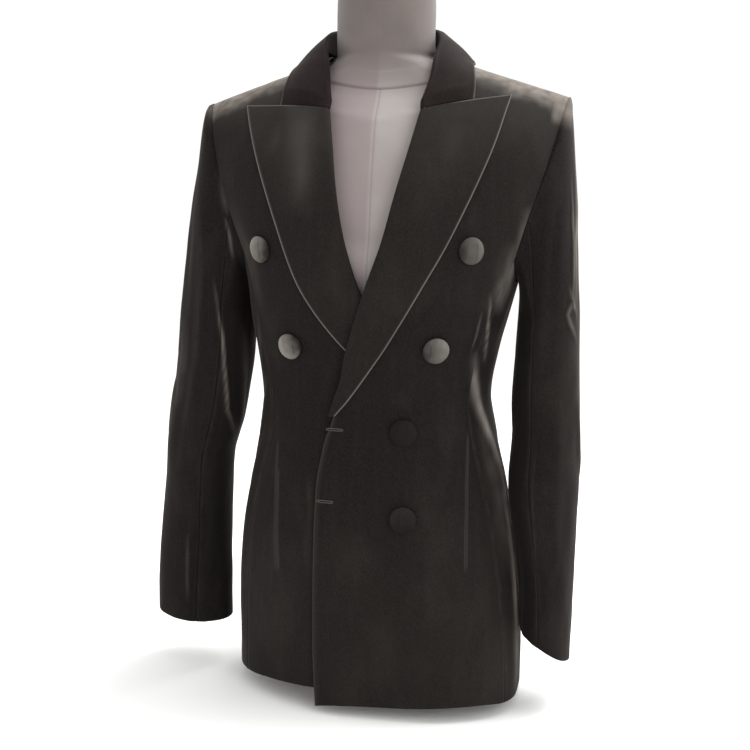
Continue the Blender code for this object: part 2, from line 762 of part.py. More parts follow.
def collar_section(side, step):
    """One section: up the stand, over the crest and down the leaf to its edge."""
    names = ("crest_x", "crest_y", "crest_z", "stand", "edge_across", "edge_turn")
    x, y, z, stand, across, turn = [read(COLLAR, name, step, by="step") for name in names]
    crest = np.array([SIDES[side] * x + COLLAR_SHIFT * (1.0 - ramp(step, 0.35, 0.75)), y, z])
    middle_reach, end_reach = COLLAR_REACH[side]
    across += middle_reach * ramp(step, 0.15, 0.45) + (end_reach - middle_reach) * ramp(step, 0.55, 1.0)
    edge = over_shoulder(side, across, turn, LAPEL_EDGE_RISE)
    upright = 1.0 - ramp(step, 0.45, 1.0)
    lean = front_normal(side, x, min(z, 0.68))
    up = unit(lean * (1 - upright) + np.array([0.0, 0.0, 1.0]) * upright)
    out = edge - crest
    out = unit(out - up * np.dot(out, up))
    middle = crest - up * CREST_RADIUS
    points = [middle - out * CREST_RADIUS - up * stand * down for down in (1.0, 0.45, 0.0)]
    for degrees, clear in ((45.0, -1.0), (90.0, 0.0043), (140.0, 0.0043)):
        arc = math.radians(degrees)
        point = middle + (up * math.sin(arc) - out * math.cos(arc)) * CREST_RADIUS
        points.append(lifted_clear(side, point, clear))
    start = points[-1]
    swell = unit(np.cross(np.cross(edge - start, up), edge - start))
    if np.dot(swell, up) < 0:
        swell = -swell
    for share in (0.25, 0.5, 0.75, 1.0):
        bow = COLLAR_BOW * math.sin(math.pi * share)
        point = start + (edge - start) * share + swell * bow
        points.append(lifted_clear(side, point, LAPEL_EDGE_RISE + 0.0008 * (1 - share)))
    return points


def lifted_clear(side, point, rise):
    """The point, moved off the shoulder until it clears it by rise."""
    across = SIDES[side] * point[0]
    near, far = 0.0, 180.0
    for _ in range(18):
        turn = (near + far) / 2
        near, far = (turn, far) if chest_point(side, across, turn)[1] < point[1] else (near, turn)
    foot = chest_point(side, across, turn)
    normal = unit(over_shoulder(side, across, turn, 1.0) - foot)
    return point + normal * max(rise - np.dot(point - foot, normal), 0.0)


def over_shoulder(side, across, turn, rise):
    """A point that stands off the shoulder by rise."""
    step = 0.5
    point = chest_point(side, across, turn)
    if across > 1e-6:
        aside = chest_point(side, across + 0.0005, turn) - chest_point(side, across - 0.0005, turn)
    else:
        aside = np.array([SIDES[side], 0.0, 0.0])
    along = chest_point(side, across, turn + step) - chest_point(side, across, turn - step)
    normal = unit(np.cross(aside, along)) * SIDES[side]
    return point + normal * rise


# ---------------------------------------------------------------- sleeves
def sleeve_fold(side, turn, z):
    total = 0.0
    for where, middle, lean, low, high, width, rise in SLEEVE_FOLDS:
        if where == side and low < z < high:
            centre = middle + lean * (z - low) / (high - low)
            away = (turn - centre + 180.0) % 360.0 - 180.0
            total += rise * math.exp(-((away / width) ** 2)) * bump(z, low, high)
    return total


def sleeve_point(side, turn, z):
    """A point of a sleeve below its head; turn runs from the outer side over the front."""
    rows = SLEEVE[side]
    x, y, half_x, half_y = [read(rows, name, z) for name in ("middle_x", "middle_y", "half_x", "half_y")]
    fold = sleeve_fold(side, turn, z)
    arc = math.radians(turn)
    return np.array([SIDES[side] * (x + (half_x + fold) * math.cos(arc)),
                     y - (half_y + fold) * math.sin(arc), z])


def sleeve_turns(start, tube):
    """Where the armhole's points come round the sleeve; they even out down the tube."""
    steps = np.linalg.norm(np.roll(start, -1, axis=0) - start, axis=1)
    gone = np.concatenate([[0.0], np.cumsum(steps)])
    first, last = gone[UPPER_ROWS], gone[UPPER_ROWS + SIDE_COLUMNS]
    evenness = 2.0 + (1.3 - 2.0) * tube
    turns = []
    for g in gone[:-1]:
        if g <= first:
            turns.append(UNDER_FROM * (1 - (1 - g / first) ** evenness))
        elif g <= last:
            turns.append(UNDER_FROM + (UNDER_TO - UNDER_FROM) * (g - first) / (last - first))
        else:
            turns.append(UNDER_TO + (360.0 - UNDER_TO) * ((g - last) / (gone[-1] - last)) ** evenness)
    return turns


def sleeve_grid(side, start):
    """Rows of points from the armhole to the cuff."""
    grid = []
    for j in range(CAP_ROWS):
        arc = math.radians(90.0 * j / CAP_ROWS)
        go, left = math.sin(arc), math.cos(arc)
        low, top = HEAD_FULLNESS[side]
        fullness = low + top * left ** 6
        spread = fullness * go + (1 - fullness) * (1 - left)
        row = []
        for begin, turn in zip(start, sleeve_turns(start, 0.0)):
            end = sleeve_point(side, turn, CAP_FOOT)
            row.append([begin[0] + (end[0] - begin[0]) * spread,
                        begin[1] + (end[1] - begin[1]) * go,
                        end[2] + (begin[2] - end[2]) * left])
        grid.append(row)
    for j in range(TUBE_ROWS + 1):
        tube = j / TUBE_ROWS
        row = []
        for turn in sleeve_turns(start, tube):
            outer = 0.5 + 0.5 * math.cos(math.radians(turn))
            foot = CUFF[side]["inner"] + (CUFF[side]["outer"] - CUFF[side]["inner"]) * outer ** CUFF_POWER
            row.append(sleeve_point(side, turn, CAP_FOOT + (foot - CAP_FOOT) * tube))
        grid.append(row)
    return np.array(grid), sleeve_turns(start, 0.0)


def sleeve(side, ring, cloth, parent):
    outward = np.array([SIDES[side], 0.0, 0.0])
    under = 1.0 - np.array([ramp(z, ARMHOLE_LEVEL, ARMHOLE_LEVEL + 0.03) for z in ring[:, 2]])
    gap = SEAM_GAP * 1.2 + UNDERARM_GAP * under[:, None]
    start = ring + outward * gap
    for _ in range(2):
        grid, turns = sleeve_grid(side, start)
        normals = grid_normals(grid, wrap=True)
        if np.dot(normals[-3, 0], outward) < 0:
            normals = -normals
        clear = np.maximum(normals[0] @ outward, 0.0)
        start = ring + outward * (gap + WALL * clear[:, None])
    count = len(turns)
    front = min(range(count), key=lambda k: abs(turns[k] - FRONT_SEAM_TURN))
    back = min(range(count), key=lambda k: abs(turns[k] - BACK_SEAM_TURN))
    under = list(range(front, back + 1))
    top = list(range(back, count)) + list(range(0, front + 1))
    for name, columns in (("sleeve_top", top), ("sleeve_under", under)):
        points = pull_in(grid[:, columns], normals[:, columns], "first last")
        cloth_wall(f"{name}_{side}", points, normals[:, columns], cloth, parent)


# ---------------------------------------------------------------- buttons and form
def button(number, side, across, z, gap, material, parent):
    """A covered, domed button that lies on its front."""
    radius, height = BUTTON_WIDTH / 2, BUTTON_HEIGHT
    profile = [(0.0, height)]
    profile += [(radius * math.sin(math.radians(a)) ** 0.9,
                 height * (0.42 + 0.58 * math.cos(math.radians(a)) ** 1.2)) for a in (30, 55, 75, 90)]
    profile += [(radius * 0.93, 0.0), (0.0, 0.0)]
    mesh = bpy.data.meshes.new(f"button_{number}")
    edges = [(k, k + 1) for k in range(len(profile) - 1)]
    mesh.from_pydata([(x, 0.0, y) for x, y in profile], edges, [])
    mesh.materials.append(material)
    piece = bpy.data.objects.new(f"button_{number}", mesh)
    bpy.data.collections["velvet_blazer"].objects.link(piece)
    screw = piece.modifiers.new("turn", "SCREW")
    screw.steps = screw.render_steps = 20
    screw.use_merge_vertices = True
    screw.merge_threshold = 0.00005
    reach = 0.7 * radius
    aside = lap_point(side, across + reach, z) - lap_point(side, across - reach, z)
    above = lap_point(side, across, z + reach) - lap_point(side, across, z - reach)
    normal = unit(np.cross(aside, above)) * SIDES[side]
    up = np.array([0.0, 0.0, 1.0])
    tangent = unit(np.cross(up, normal))
    frame = np.array([tangent, np.cross(normal, tangent), normal]).T
    seat = lap_point(side, across, z) + normal * gap
    matrix = np.eye(4)
    matrix[:3, :3] = frame
    matrix[:3, 3] = seat
    piece.parent = parent
    piece.matrix_local = Matrix(matrix.tolist())


def form_ring(z):
    """One ring of the dress form, from the centre front round the wearer's left."""
    if z >= NECK["height"][0]:
        radius, shift, y = [read(NECK, name, z) for name in ("radius", "middle_x", "middle_y")]
        turns = [84.0 * k / FORM_SEGMENTS for k in range(FORM_SEGMENTS + 1)]
        turns += [180.0 - turn for turn in reversed(turns)]
        half = [[radius * math.sin(math.radians(t)), y - radius * math.cos(math.radians(t)), z]
                for t in turns]
        ring = half + [[-x, y, z] for x, y, z in half[-2:0:-1]]
        return [[x + shift, y, z] for x, y, z in ring]
    ring = []
    for side in ("left", "right"):
        front = [form_point(side, k / FORM_SEGMENTS, z, False) for k in range(FORM_SEGMENTS + 1)]
        back = [form_point(side, k / FORM_SEGMENTS, z, True) for k in range(FORM_SEGMENTS, -1, -1)]
        half = front + back
        ring += half if side == "left" else half[-2:0:-1]
    return ring


def form_point(side, part, z, behind):
    """A point of the form, inside the cloth by the ease."""
    centre, half, front, back = body_size(z)
    turn = math.radians(84.0 * part)
    if z <= ARMHOLE_LEVEL:
        ease = read(EASE, "ease", z)
        share = read(BASE, "share", z)
        across = (half - ease) * share * math.sin(turn) ** (2 / SECTION_POWER)
        out = ((back if behind else front) - ease) * share * math.cos(turn) ** (2 / SECTION_POWER)
        return [SIDES[side] * across + centre, out if behind else -out, z]
    reach = (z - ARMHOLE_LEVEL) / (SHOULDER_LINE[side][-1] - ARMHOLE_LEVEL)
    plate = read(ARMHOLE, "front_across", min(reach, 1.0), by="rise") - ARM_PLATE_INSET
    limit = min(plate + 0.010 * (1 - ramp(reach, 0.0, 0.3)), ridge_across(side, z + RIDGE_EASE))
    across = limit * math.sin(turn) ** (2 / SECTION_POWER)
    ridge = -1.0 if behind else 1.0
    if part == 1 and limit < plate:
        return [SIDES[side] * limit, RIDGE_DEPTH - ridge * 0.0015, z]
    near, far = 0.0, 90.0
    for _ in range(18):
        middle = (near + far) / 2
        ease = read(SHOULDER_EASE, "ease", middle, by="turn")
        ease += NECK_EASE * (1 - ramp(across, 0.07, 0.13))
        point = over_shoulder(side, across, 90.0 - ridge * (90.0 - middle), -ease)
        near, far = (middle, far) if point[2] < z else (near, middle)
    y = point[1]
    if not behind and z > FORM_FRONT["height"][0]:
        y = max(y, -read(FORM_FRONT, "front", z) * math.sqrt(1 - (0.98 * across / limit) ** 2))
    return [SIDES[side] * across, y, z]


def ridge_across(side, z):
    """How far across the shoulder line still reaches this height."""
    near, far = 0.0, 0.24
    for _ in range(40):
        middle = (near + far) / 2
        slope = shoulder_height(side, middle) if middle < 0.2 else (
            SHOULDER_LINE[side][-1] - (middle - 0.2) * 0.3)
        near, far = (middle, far) if slope > z else (near, middle)
    return near


def dress_form(material, parent):
    heights = list(FORM_HEIGHTS) + list(NECK["height"])
    rings = [form_ring(z) for z in heights]
    maker = bmesh.new()
    layers = [[maker.verts.new(point) for point in ring] for ring in rings]
    count = len(layers[0])
    for low, high in zip(layers, layers[1:]):
        for i in range(count):
            j = (i + 1) % count
            maker.faces.new([low[i], low[j], high[j], high[i]])
    maker.faces.new(list(reversed(layers[0])))
    maker.faces.new(layers[-1])
    bmesh.ops.recalc_face_normals(maker, faces=maker.faces)
    add_object("form_torso", maker, material, parent)


# ---------------------------------------------------------------- the whole
def finish(name, colour, roughness):
    material = bpy.data.materials.new(name)
    material.use_nodes = True
    shader = material.node_tree.nodes["Principled BSDF"]
    shader.inputs["Base Color"].default_value = (*colour, 1.0)
    shader.inputs["Roughness"].default_value = roughness
    return material


def main():
    for old in list(bpy.data.objects):
        bpy.data.objects.remove(old)
    collection = bpy.data.collections.new("velvet_blazer")
    bpy.context.scene.collection.children.link(collection)
    middle = bpy.data.objects.new("middle", None)
    middle.location = (SHIFT_X, SHIFT_Y, 0.0)
    collection.objects.link(middle)
    velvet = finish("black_velvet", (0.014, 0.012, 0.011), 0.9)
    jersey = finish("mauve_jersey", (0.25, 0.22, 0.23), 0.75)
    covered = finish("covered_button", (0.03, 0.028, 0.027), 0.6)
    for side in SIDES:
        ring = body_panels(side, velvet, middle)
        sleeve(side, ring, velvet, middle)
        lapel(side, velvet, middle)
    collar(velvet, middle)
    for number, (side, across, z, gap) in enumerate(BUTTONS, start=1):
        button(number, side, across, z, gap, covered, middle)
    dress_form(jersey, middle)


main()
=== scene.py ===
# %% [markdown]
# # A velvet blazer on a dress form
# The object is a woman's double-breasted blazer in near-black cotton velvet, buttoned on a limbless
# dress form. Velvet is a short upright pile, so it is almost black when you look straight down into
# it and pale where you look along it. That is why the cloth here is built as many thin, slightly
# uneven shells: every soft ridge turns the pile and catches a light line in the shader's sheen. The
# light lines, and the pale shoulders, hem and edges, are also painted into the cloth's colour as
# painted highlights. The CAD model gives the place of each cut piece, and this file makes the same
# surfaces again with many more points.

# %% Load the frame
import math

import bmesh
import bpy
import numpy as np
from mathutils import Matrix, Vector, noise


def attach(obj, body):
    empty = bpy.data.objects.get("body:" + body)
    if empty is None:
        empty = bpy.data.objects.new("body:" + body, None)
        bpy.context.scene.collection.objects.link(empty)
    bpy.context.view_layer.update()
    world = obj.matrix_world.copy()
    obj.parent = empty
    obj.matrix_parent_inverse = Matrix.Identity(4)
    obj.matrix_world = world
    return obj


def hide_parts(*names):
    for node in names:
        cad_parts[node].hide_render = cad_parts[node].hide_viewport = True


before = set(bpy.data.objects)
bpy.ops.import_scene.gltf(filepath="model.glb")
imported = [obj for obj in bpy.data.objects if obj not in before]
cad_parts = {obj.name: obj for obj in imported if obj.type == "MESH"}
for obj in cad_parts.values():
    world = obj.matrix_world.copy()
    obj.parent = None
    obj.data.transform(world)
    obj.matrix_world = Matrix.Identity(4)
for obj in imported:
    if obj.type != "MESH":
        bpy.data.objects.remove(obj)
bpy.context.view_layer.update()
SHIFT = np.array([0.02256, 0.00835, 0.0])  # from the tailor's axis to the frame's origin
SIDES = {"left": 1.0, "right": -1.0}

# %% [markdown]
# ## The camera
# The photograph was taken from a little to the wearer's left, at about the height of the bust, and
# looks slightly down. A lens in millimetres follows from a focal length in pixels: pixels divided by
# the picture's width, times the sensor's width. The camera comes first so that every later step can
# be looked at from the right place.

# %% Place the camera
PICTURE = 750                       # pixels across
FOCAL = 1217                        # pixels
SENSOR = 36.0                       # millimetres
AZIMUTH, ELEVATION, ROLL = (math.radians(a) for a in (9.0, 8.5, 1.2))
DISTANCE = 1.40                     # metres
AIM = np.array([0.0, 0.0, 0.362]) + SHIFT
MIDDLE_PIXEL = 382                  # where the aim comes across the picture

back = np.array([math.sin(AZIMUTH) * math.cos(ELEVATION), -math.cos(AZIMUTH) * math.cos(ELEVATION),
                 math.sin(ELEVATION)])
level = np.array([math.cos(AZIMUTH), math.sin(AZIMUTH), 0.0])
upright = np.cross(back, level)
right = math.cos(ROLL) * level + math.sin(ROLL) * upright
up = math.cos(ROLL) * upright - math.sin(ROLL) * level
lens = bpy.data.cameras.new("photo_camera")
lens.sensor_width = SENSOR
lens.lens = FOCAL / PICTURE * SENSOR
lens.shift_x = (PICTURE / 2 - MIDDLE_PIXEL) / PICTURE
camera = bpy.data.objects.new("photo_camera", lens)
bpy.context.scene.collection.objects.link(camera)
place = np.eye(4)
place[:3, 0], place[:3, 1], place[:3, 2] = right, up, back
place[:3, 3] = AIM + DISTANCE * back
camera.matrix_world = Matrix(place.tolist())
bpy.context.scene.camera = camera
print("lens", round(lens.lens, 1), "mm")

# %% [markdown]
# ## Sizes, section by section
# A tailor drafts a jacket from a few measures: how wide and deep it is at the hem, hip, waist, bust
# and shoulder. Each table below is one such list, a row for each section, and a smooth curve runs
# through its rows. Heights are in metres above the surface that the form stands on.

# %% Tables
def table(columns, *rows):
    return {name: [row[i] for row in rows] for i, name in enumerate(columns.split())}


BODY = table(
    "height centre half_width front back left_power",
    (0.000, 0.006, 0.165, 0.122, 0.118, 3.6),
    (0.060, 0.0055, 0.165, 0.121, 0.119, 3.4),
    (0.130, 0.003, 0.163, 0.118, 0.119, 2.9),
    (0.190, 0.0005, 0.157, 0.114, 0.113, 2.5),
    (0.250, -0.001, 0.147, 0.108, 0.102, 2.3),
    (0.300, -0.002, 0.135, 0.103, 0.093, 2.3),
    (0.345, -0.005, 0.1305, 0.101, 0.089, 2.3),
    (0.390, -0.005, 0.1365, 0.106, 0.090, 2.3),
    (0.430, -0.004, 0.145, 0.116, 0.096, 2.3),
    (0.470, -0.001, 0.152, 0.124, 0.104, 2.3),
    (0.500, 0.000, 0.160, 0.125, 0.109, 2.3),
    (0.550, 0.000, 0.184, 0.122, 0.113, 2.3),
    (0.610, 0.000, 0.204, 0.117, 0.113, 2.3),
    (0.670, 0.000, 0.214, 0.111, 0.108, 2.3),
    (0.730, 0.000, 0.218, 0.108, 0.102, 2.3),
)
SEAMS = table("height front_seam back_seam", (0.000, 60.0, 118.0), (0.200, 58.0, 119.0),
              (0.345, 55.0, 121.0), (0.430, 59.0, 118.0), (0.500, 68.0, 114.0))
EASE = table("height ease", (0.000, 0.013), (0.200, 0.013), (0.345, 0.014), (0.500, 0.008))
SHOULDER_EASE = table("turn ease", (0, 0.0080), (30, 0.0065), (60, 0.0052), (80, 0.0046), (90, 0.0046))
ARMHOLE = table("rise front_across back_across", (0.00, 0.1500, 0.1480), (0.25, 0.1640, 0.1640),
                (0.50, 0.1780, 0.1770), (0.75, 0.1900, 0.1890), (1.00, 0.2000, 0.2000))
SHOULDER_LINE = table("across left right", (-0.035, 0.743, 0.743), (0.000, 0.765, 0.765),
                      (0.035, 0.743, 0.743), (0.070, 0.7163, 0.7120), (0.100, 0.7065, 0.7015),
                      (0.200, 0.6765, 0.6655))
FRONT_EDGE = {
    "left": table("height across", (0.000, -0.0470), (0.080, -0.0520), (0.250, -0.0530),
                  (0.300, -0.0450), (0.340, -0.0370), (0.375, -0.0260), (0.400, -0.0220),
                  (0.464, -0.0020), (0.516, 0.0157), (0.567, 0.0275), (0.620, 0.0405),
                  (0.660, 0.0490), (0.712, 0.0580)),
    "right": table("height across", (0.000, -0.0520), (0.250, -0.0530), (0.300, -0.0520),
                   (0.340, -0.0490), (0.400, -0.0270), (0.464, 0.0040), (0.516, 0.0222),
                   (0.567, 0.0335), (0.620, 0.0415), (0.660, 0.0488), (0.712, 0.0580)),
}
LAP = table("height lift", (0.000, 0.0034), (0.270, 0.0034), (0.345, 0.0068), (0.480, 0.0068),
            (0.560, 0.0010), (0.600, 0.0000))
HEM = {
    "left": table("angle height", (-20, 0.006), (-10, 0.011), (10, 0.016), (40, 0.018), (62, 0.014),
                  (90, 0.012), (130, 0.020), (180, 0.024)),
    "right": table("angle height", (-20, 0.030), (10, 0.028), (40, 0.026), (60, 0.022),
                   (90, 0.018), (180, 0.024)),
}
LAPEL = {
    "left": table("step roll_height edge_height edge_across rise",
                  (0.00, 0.330, 0.331, -0.0320, 0.0034), (0.10, 0.355, 0.352, -0.0160, 0.0036),
                  (0.25, 0.405, 0.400, 0.0150, 0.0040), (0.45, 0.475, 0.465, 0.0530, 0.0050),
                  (0.65, 0.545, 0.535, 0.0910, 0.0050), (0.85, 0.610, 0.612, 0.1232, 0.0045),
                  (1.00, 0.655, 0.6735, 0.1400, 0.0046)),
    "right": table("step roll_height edge_height edge_across rise",
                   (0.00, 0.345, 0.346, -0.0460, 0.0033), (0.10, 0.372, 0.372, -0.0170, 0.0033),
                   (0.25, 0.410, 0.406, 0.0250, 0.0033), (0.45, 0.480, 0.468, 0.0720, 0.0040),
                   (0.65, 0.550, 0.538, 0.1012, 0.0054), (0.85, 0.612, 0.605, 0.1275, 0.0054),
                   (1.00, 0.655, 0.659, 0.1470, 0.0046)),
}
COLLAR = table("step crest_x crest_y crest_z stand edge_across edge_turn",
               (-0.10, 0.0300, 0.0710, 0.7580, 0.034, 0.0340, 126.0),
               (0.00, 0.0000, 0.0765, 0.7590, 0.035, 0.0000, 132.0),
               (0.10, 0.0300, 0.0710, 0.7580, 0.034, 0.0340, 126.0),
               (0.25, 0.0560, 0.0480, 0.7530, 0.031, 0.0700, 113.0),
               (0.45, 0.0650, -0.0020, 0.7400, 0.016, 0.0970, 95.0),
               (0.62, 0.0600, -0.0430, 0.7150, 0.006, 0.1000, 81.0),
               (0.80, 0.0565, -0.0670, 0.6880, 0.004, 0.1010, 68.0),
               (1.00, 0.0500, -0.0880, 0.6610, 0.003, 0.1015, 57.0))
NECKLINE = table("across height", (0.000, 0.7200), (0.030, 0.7185), (0.055, 0.7150), (0.070, 0.7105))
SLEEVE = {
    "left": table("height middle_x middle_y half_x half_y",
                  (0.050, 0.1995, -0.030, 0.0275, 0.0500), (0.135, 0.1980, -0.026, 0.0300, 0.0500),
                  (0.190, 0.1938, -0.022, 0.0340, 0.0490), (0.250, 0.1890, -0.016, 0.0395, 0.0500),
                  (0.300, 0.1895, -0.010, 0.0380, 0.0530), (0.350, 0.1885, -0.005, 0.0375, 0.0560),
                  (0.440, 0.1875, 0.000, 0.0335, 0.0620)),
    "right": table("height middle_x middle_y half_x half_y",
                   (0.050, 0.2290, 0.020, 0.0450, 0.0400), (0.099, 0.2285, 0.019, 0.0450, 0.0410),
                   (0.162, 0.2250, 0.016, 0.0425, 0.0430), (0.223, 0.2215, 0.012, 0.0400, 0.0460),
                   (0.265, 0.2180, 0.008, 0.0400, 0.0480), (0.295, 0.2110, 0.005, 0.0430, 0.0500),
                   (0.335, 0.2025, 0.002, 0.0430, 0.0530), (0.397, 0.1945, 0.000, 0.0420, 0.0580),
                   (0.440, 0.1930, 0.000, 0.0390, 0.0600)),
}
CUFF = {"left": {"outer": 0.054, "inner": 0.083}, "right": {"outer": 0.062, "inner": 0.054}}
FORM_FRONT = table("height front", (0.560, 0.118), (0.600, 0.108), (0.635, 0.092), (0.665, 0.064),
                   (0.680, 0.053), (0.700, 0.0485))
NECK = table("height radius middle_x middle_y", (0.716, 0.0545, -0.003, 0.006),
             (0.735, 0.0545, -0.004, 0.006), (0.755, 0.0545, -0.004, 0.006),
             (0.775, 0.0545, -0.004, 0.006), (0.786, 0.0530, -0.004, 0.006),
             (0.790, 0.0500, -0.004, 0.006))
BASE = table("height share", (0.000, 0.58), (0.024, 0.58), (0.030, 0.60), (0.042, 0.86), (0.060, 0.97),
             (0.085, 1.00))

ARMHOLE_LEVEL, ARMHOLE_DIP = 0.500, 0.026
SECTION_POWER, FRONT_POWER, BACK_POWER = 2.3, 2.2, 2.6   # 2 is an ellipse, more is boxier
RIDGE_DEPTH, RIDGE_EASE, NECK_EASE, ARM_PLATE_INSET = 0.004, 0.0030, 0.008, 0.008
LAP_FULL, LAP_END = 0.075, 0.130
BREAK, ROLL_SETBACK = 0.335, 0.0042
CREST_RADIUS, COLLAR_SHIFT, COLLAR_BOW = 0.0032, -0.006, 0.0055
COLLAR_REACH = {"left": (-0.0040, 0.0005), "right": (0.0040, 0.0040)}   # on the shoulder, in front
LAPEL_CROWN, LAPEL_EDGE_RISE, GORGE_GAP = 0.001, 0.0034, 0.0004
SEAM_GAP = 0.0003
print("tables for", len(BODY["height"]), "sections of the body")

# %% [markdown]
# ## The shared surface
# Every panel of the body is cut from one imagined surface: boxy ovals below the arm, and above it
# curves that run up the chest, over the shoulder seam and down the back. If all the pieces read
# their places from the same functions, they meet at the seams without any fitting.

# %% Curves through the tables
def smooth(xs, ys, x):
    """Cubic through the rows of a table, level past its ends."""
    if x <= xs[0]:
        return ys[0]
    if x >= xs[-1]:
        return ys[-1]
    i = max(k for k in range(len(xs) - 1) if xs[k] <= x)

    def slope(k):
        a, b = max(k - 1, 0), min(k + 1, len(xs) - 1)
        return (ys[b] - ys[a]) / (xs[b] - xs[a])

    width = xs[i + 1] - xs[i]
    t = (x - xs[i]) / width
    rise = ys[i + 1] - ys[i]
    start, stop = slope(i) * width, slope(i + 1) * width
    return ys[i] + t * (start + t * (3 * rise - 2 * start - stop + t * (start + stop - 2 * rise)))


def read(rows, column, at, by="height"):
    return smooth(rows[by], rows[column], at)


def ramp(x, low, high):
    """0 up to low, 1 from high, smooth between; x may be an array."""
    t = np.clip((x - low) / (high - low), 0.0, 1.0)
    return t * t * (3.0 - 2.0 * t)


def signed_power(value, power):
    return math.copysign(abs(value) ** power, value)


def unit(vector):
    return vector / np.linalg.norm(vector)


print("waist is", round(2 * read(BODY, "half_width", 0.345), 3), "m wide")

# %% Points on the body
def body_size(z):
    return [read(BODY, name, z) for name in ("centre", "half_width", "front", "back")]


def shoulder_height(side, across):
    return smooth(SHOULDER_LINE["across"], SHOULDER_LINE[side], abs(across))


def section_power(side, angle, z):
    return read(BODY, "left_power", z) if side == "left" and 0.0 < angle < 90.0 else SECTION_POWER


def section_point(side, angle, z):
    """A point on the blazer's outer surface, up to the armhole level."""
    centre, half, front, back_depth = body_size(z)
    turn = math.radians(angle)
    depth = front if math.cos(turn) > 0 else back_depth
    power = section_power(side, angle, z)
    across = half * signed_power(math.sin(turn), 2 / power)
    return np.array([centre + SIDES[side] * across, -depth * signed_power(math.cos(turn), 2 / power), z])


def angle_at(side, across, z):
    centre, half, _, _ = body_size(z)
    share = (across - SIDES[side] * centre) / half
    power = section_power(side, math.copysign(45.0, share), z)
    return math.degrees(math.asin(signed_power(share, power / 2)))


def chest_point(side, across, turn):
    """A point above the armhole level; turn is 0 in front, 90 on the shoulder seam, 180 behind."""
    behind = turn > 90.0
    power = BACK_POWER if behind else FRONT_POWER
    lift = math.radians(180.0 - turn if behind else turn)
    rise = max(math.sin(lift), 0.0) ** (2 / power)
    sink = max(math.cos(lift), 0.0) ** (2 / power)
    z = ARMHOLE_LEVEL + (shoulder_height(side, across) - ARMHOLE_LEVEL) * rise
    _, half, front, back_depth = body_size(z)
    share = min(abs(across) / half, 1.0)
    flat = (back_depth if behind else -front) * (1 - share ** SECTION_POWER) ** (1 / SECTION_POWER)
    return np.array([SIDES[side] * across, RIDGE_DEPTH + (flat - RIDGE_DEPTH) * sink, z])


def turn_at(side, across, z, behind=False):
    power = BACK_POWER if behind else FRONT_POWER
    rise = (z - ARMHOLE_LEVEL) / (shoulder_height(side, across) - ARMHOLE_LEVEL)
    lift = math.degrees(math.asin(min(max(rise, 0.0), 1.0) ** (power / 2)))
    return 180.0 - lift if behind else lift


def front_point(side, across, z):
    if z > ARMHOLE_LEVEL:
        return chest_point(side, across, turn_at(side, across, z))
    return section_point(side, angle_at(side, across, z), z)


def front_normal(side, across, z):
    step = 0.0005
    aside = front_point(side, across + step, z) - front_point(side, across - step, z)
    above = front_point(side, across, z + step) - front_point(side, across, z - step)
    return unit(np.cross(aside, above) * SIDES[side])


def lap_lift(side, across, z):
    """How far the lapping front stands off the one under it."""
    return 0.0 if side == "right" else read(LAP, "lift", z) * (1.0 - ramp(across, LAP_FULL, LAP_END))


def raised(side, across, z, rise):
    return front_point(side, across, z) + front_normal(side, across, z) * rise


def lap_point(side, across, z):
    return raised(side, across, z, lap_lift(side, across, z))


def edge_across(side, z):
    setback = ROLL_SETBACK * ramp(z, BREAK - 0.035, BREAK - 0.010)
    return read(FRONT_EDGE[side], "across", z) + setback


def over_shoulder(side, across, turn, rise):
    """A point that stands off the shoulder by rise."""
    point = chest_point(side, across, turn)
    if across > 1e-6:
        aside = chest_point(side, across + 0.0005, turn) - chest_point(side, across - 0.0005, turn)
    else:
        aside = np.array([SIDES[side], 0.0, 0.0])
    along = chest_point(side, across, turn + 0.5) - chest_point(side, across, turn - 0.5)
    return point + unit(np.cross(aside, along)) * SIDES[side] * rise


print("shoulder tips at", shoulder_height("left", 0.2), "and", shoulder_height("right", 0.2), "m")

# %% [markdown]
# ## From a few sections to fine cloth
# Working out each of some 300,000 points from the tables would be slow. A draft of some hundred points
# is worked out exactly, and a smooth spline, the kind that passes through its points, is laid over
# it. The new points needn't be evenly spaced: they crowd together at seams and edges, where the
# cloth turns sharply, and stay far apart on the plain parts.

# %% Splines over a grid
def spline(points, at):
    """Points of a smooth curve through the rows of points, at places counted in rows."""
    padded = np.concatenate([[2 * points[0] - points[1]], points, [2 * points[-1] - points[-2]]])
    index = np.clip(np.floor(at).astype(int), 0, len(points) - 2)
    t = (at - index).reshape(-1, *[1] * (points.ndim - 1))
    p0, p1, p2, p3 = (padded[index + k] for k in range(4))
    return 0.5 * (2 * p1 + (p2 - p0) * t + (2 * p0 - 5 * p1 + 4 * p2 - p3) * t ** 2
                  + (3 * p1 - p0 - 3 * p2 + p3) * t ** 3)


def lengths(points):
    """How far along the line each point comes."""
    steps = np.linalg.norm(np.diff(points, axis=0), axis=-1)
    return np.concatenate([[0.0], np.cumsum(steps)])


EDGE_STEPS = np.array([0.0, 0.0003, 0.0010, 0.0024])    # metres from an edge or seam
MARK_STEPS = np.array([-0.0008, 0.0, 0.0008, 0.0018])   # metres from a marked line


def stations(length, counts, mark=None):
    """Places along a length: close together at both ends and on both sides of the mark."""
    places, start = [EDGE_STEPS], EDGE_STEPS[-1]
    if mark is not None:
        places += [np.linspace(start, mark - MARK_STEPS[-1], counts[0] + 1)[1:], mark + MARK_STEPS]
        start = mark + MARK_STEPS[-1]
    places.append(np.linspace(start, length - EDGE_STEPS[-1], counts[-1] + 1)[1:])
    return np.concatenate(places + [length - EDGE_STEPS[-2::-1]])


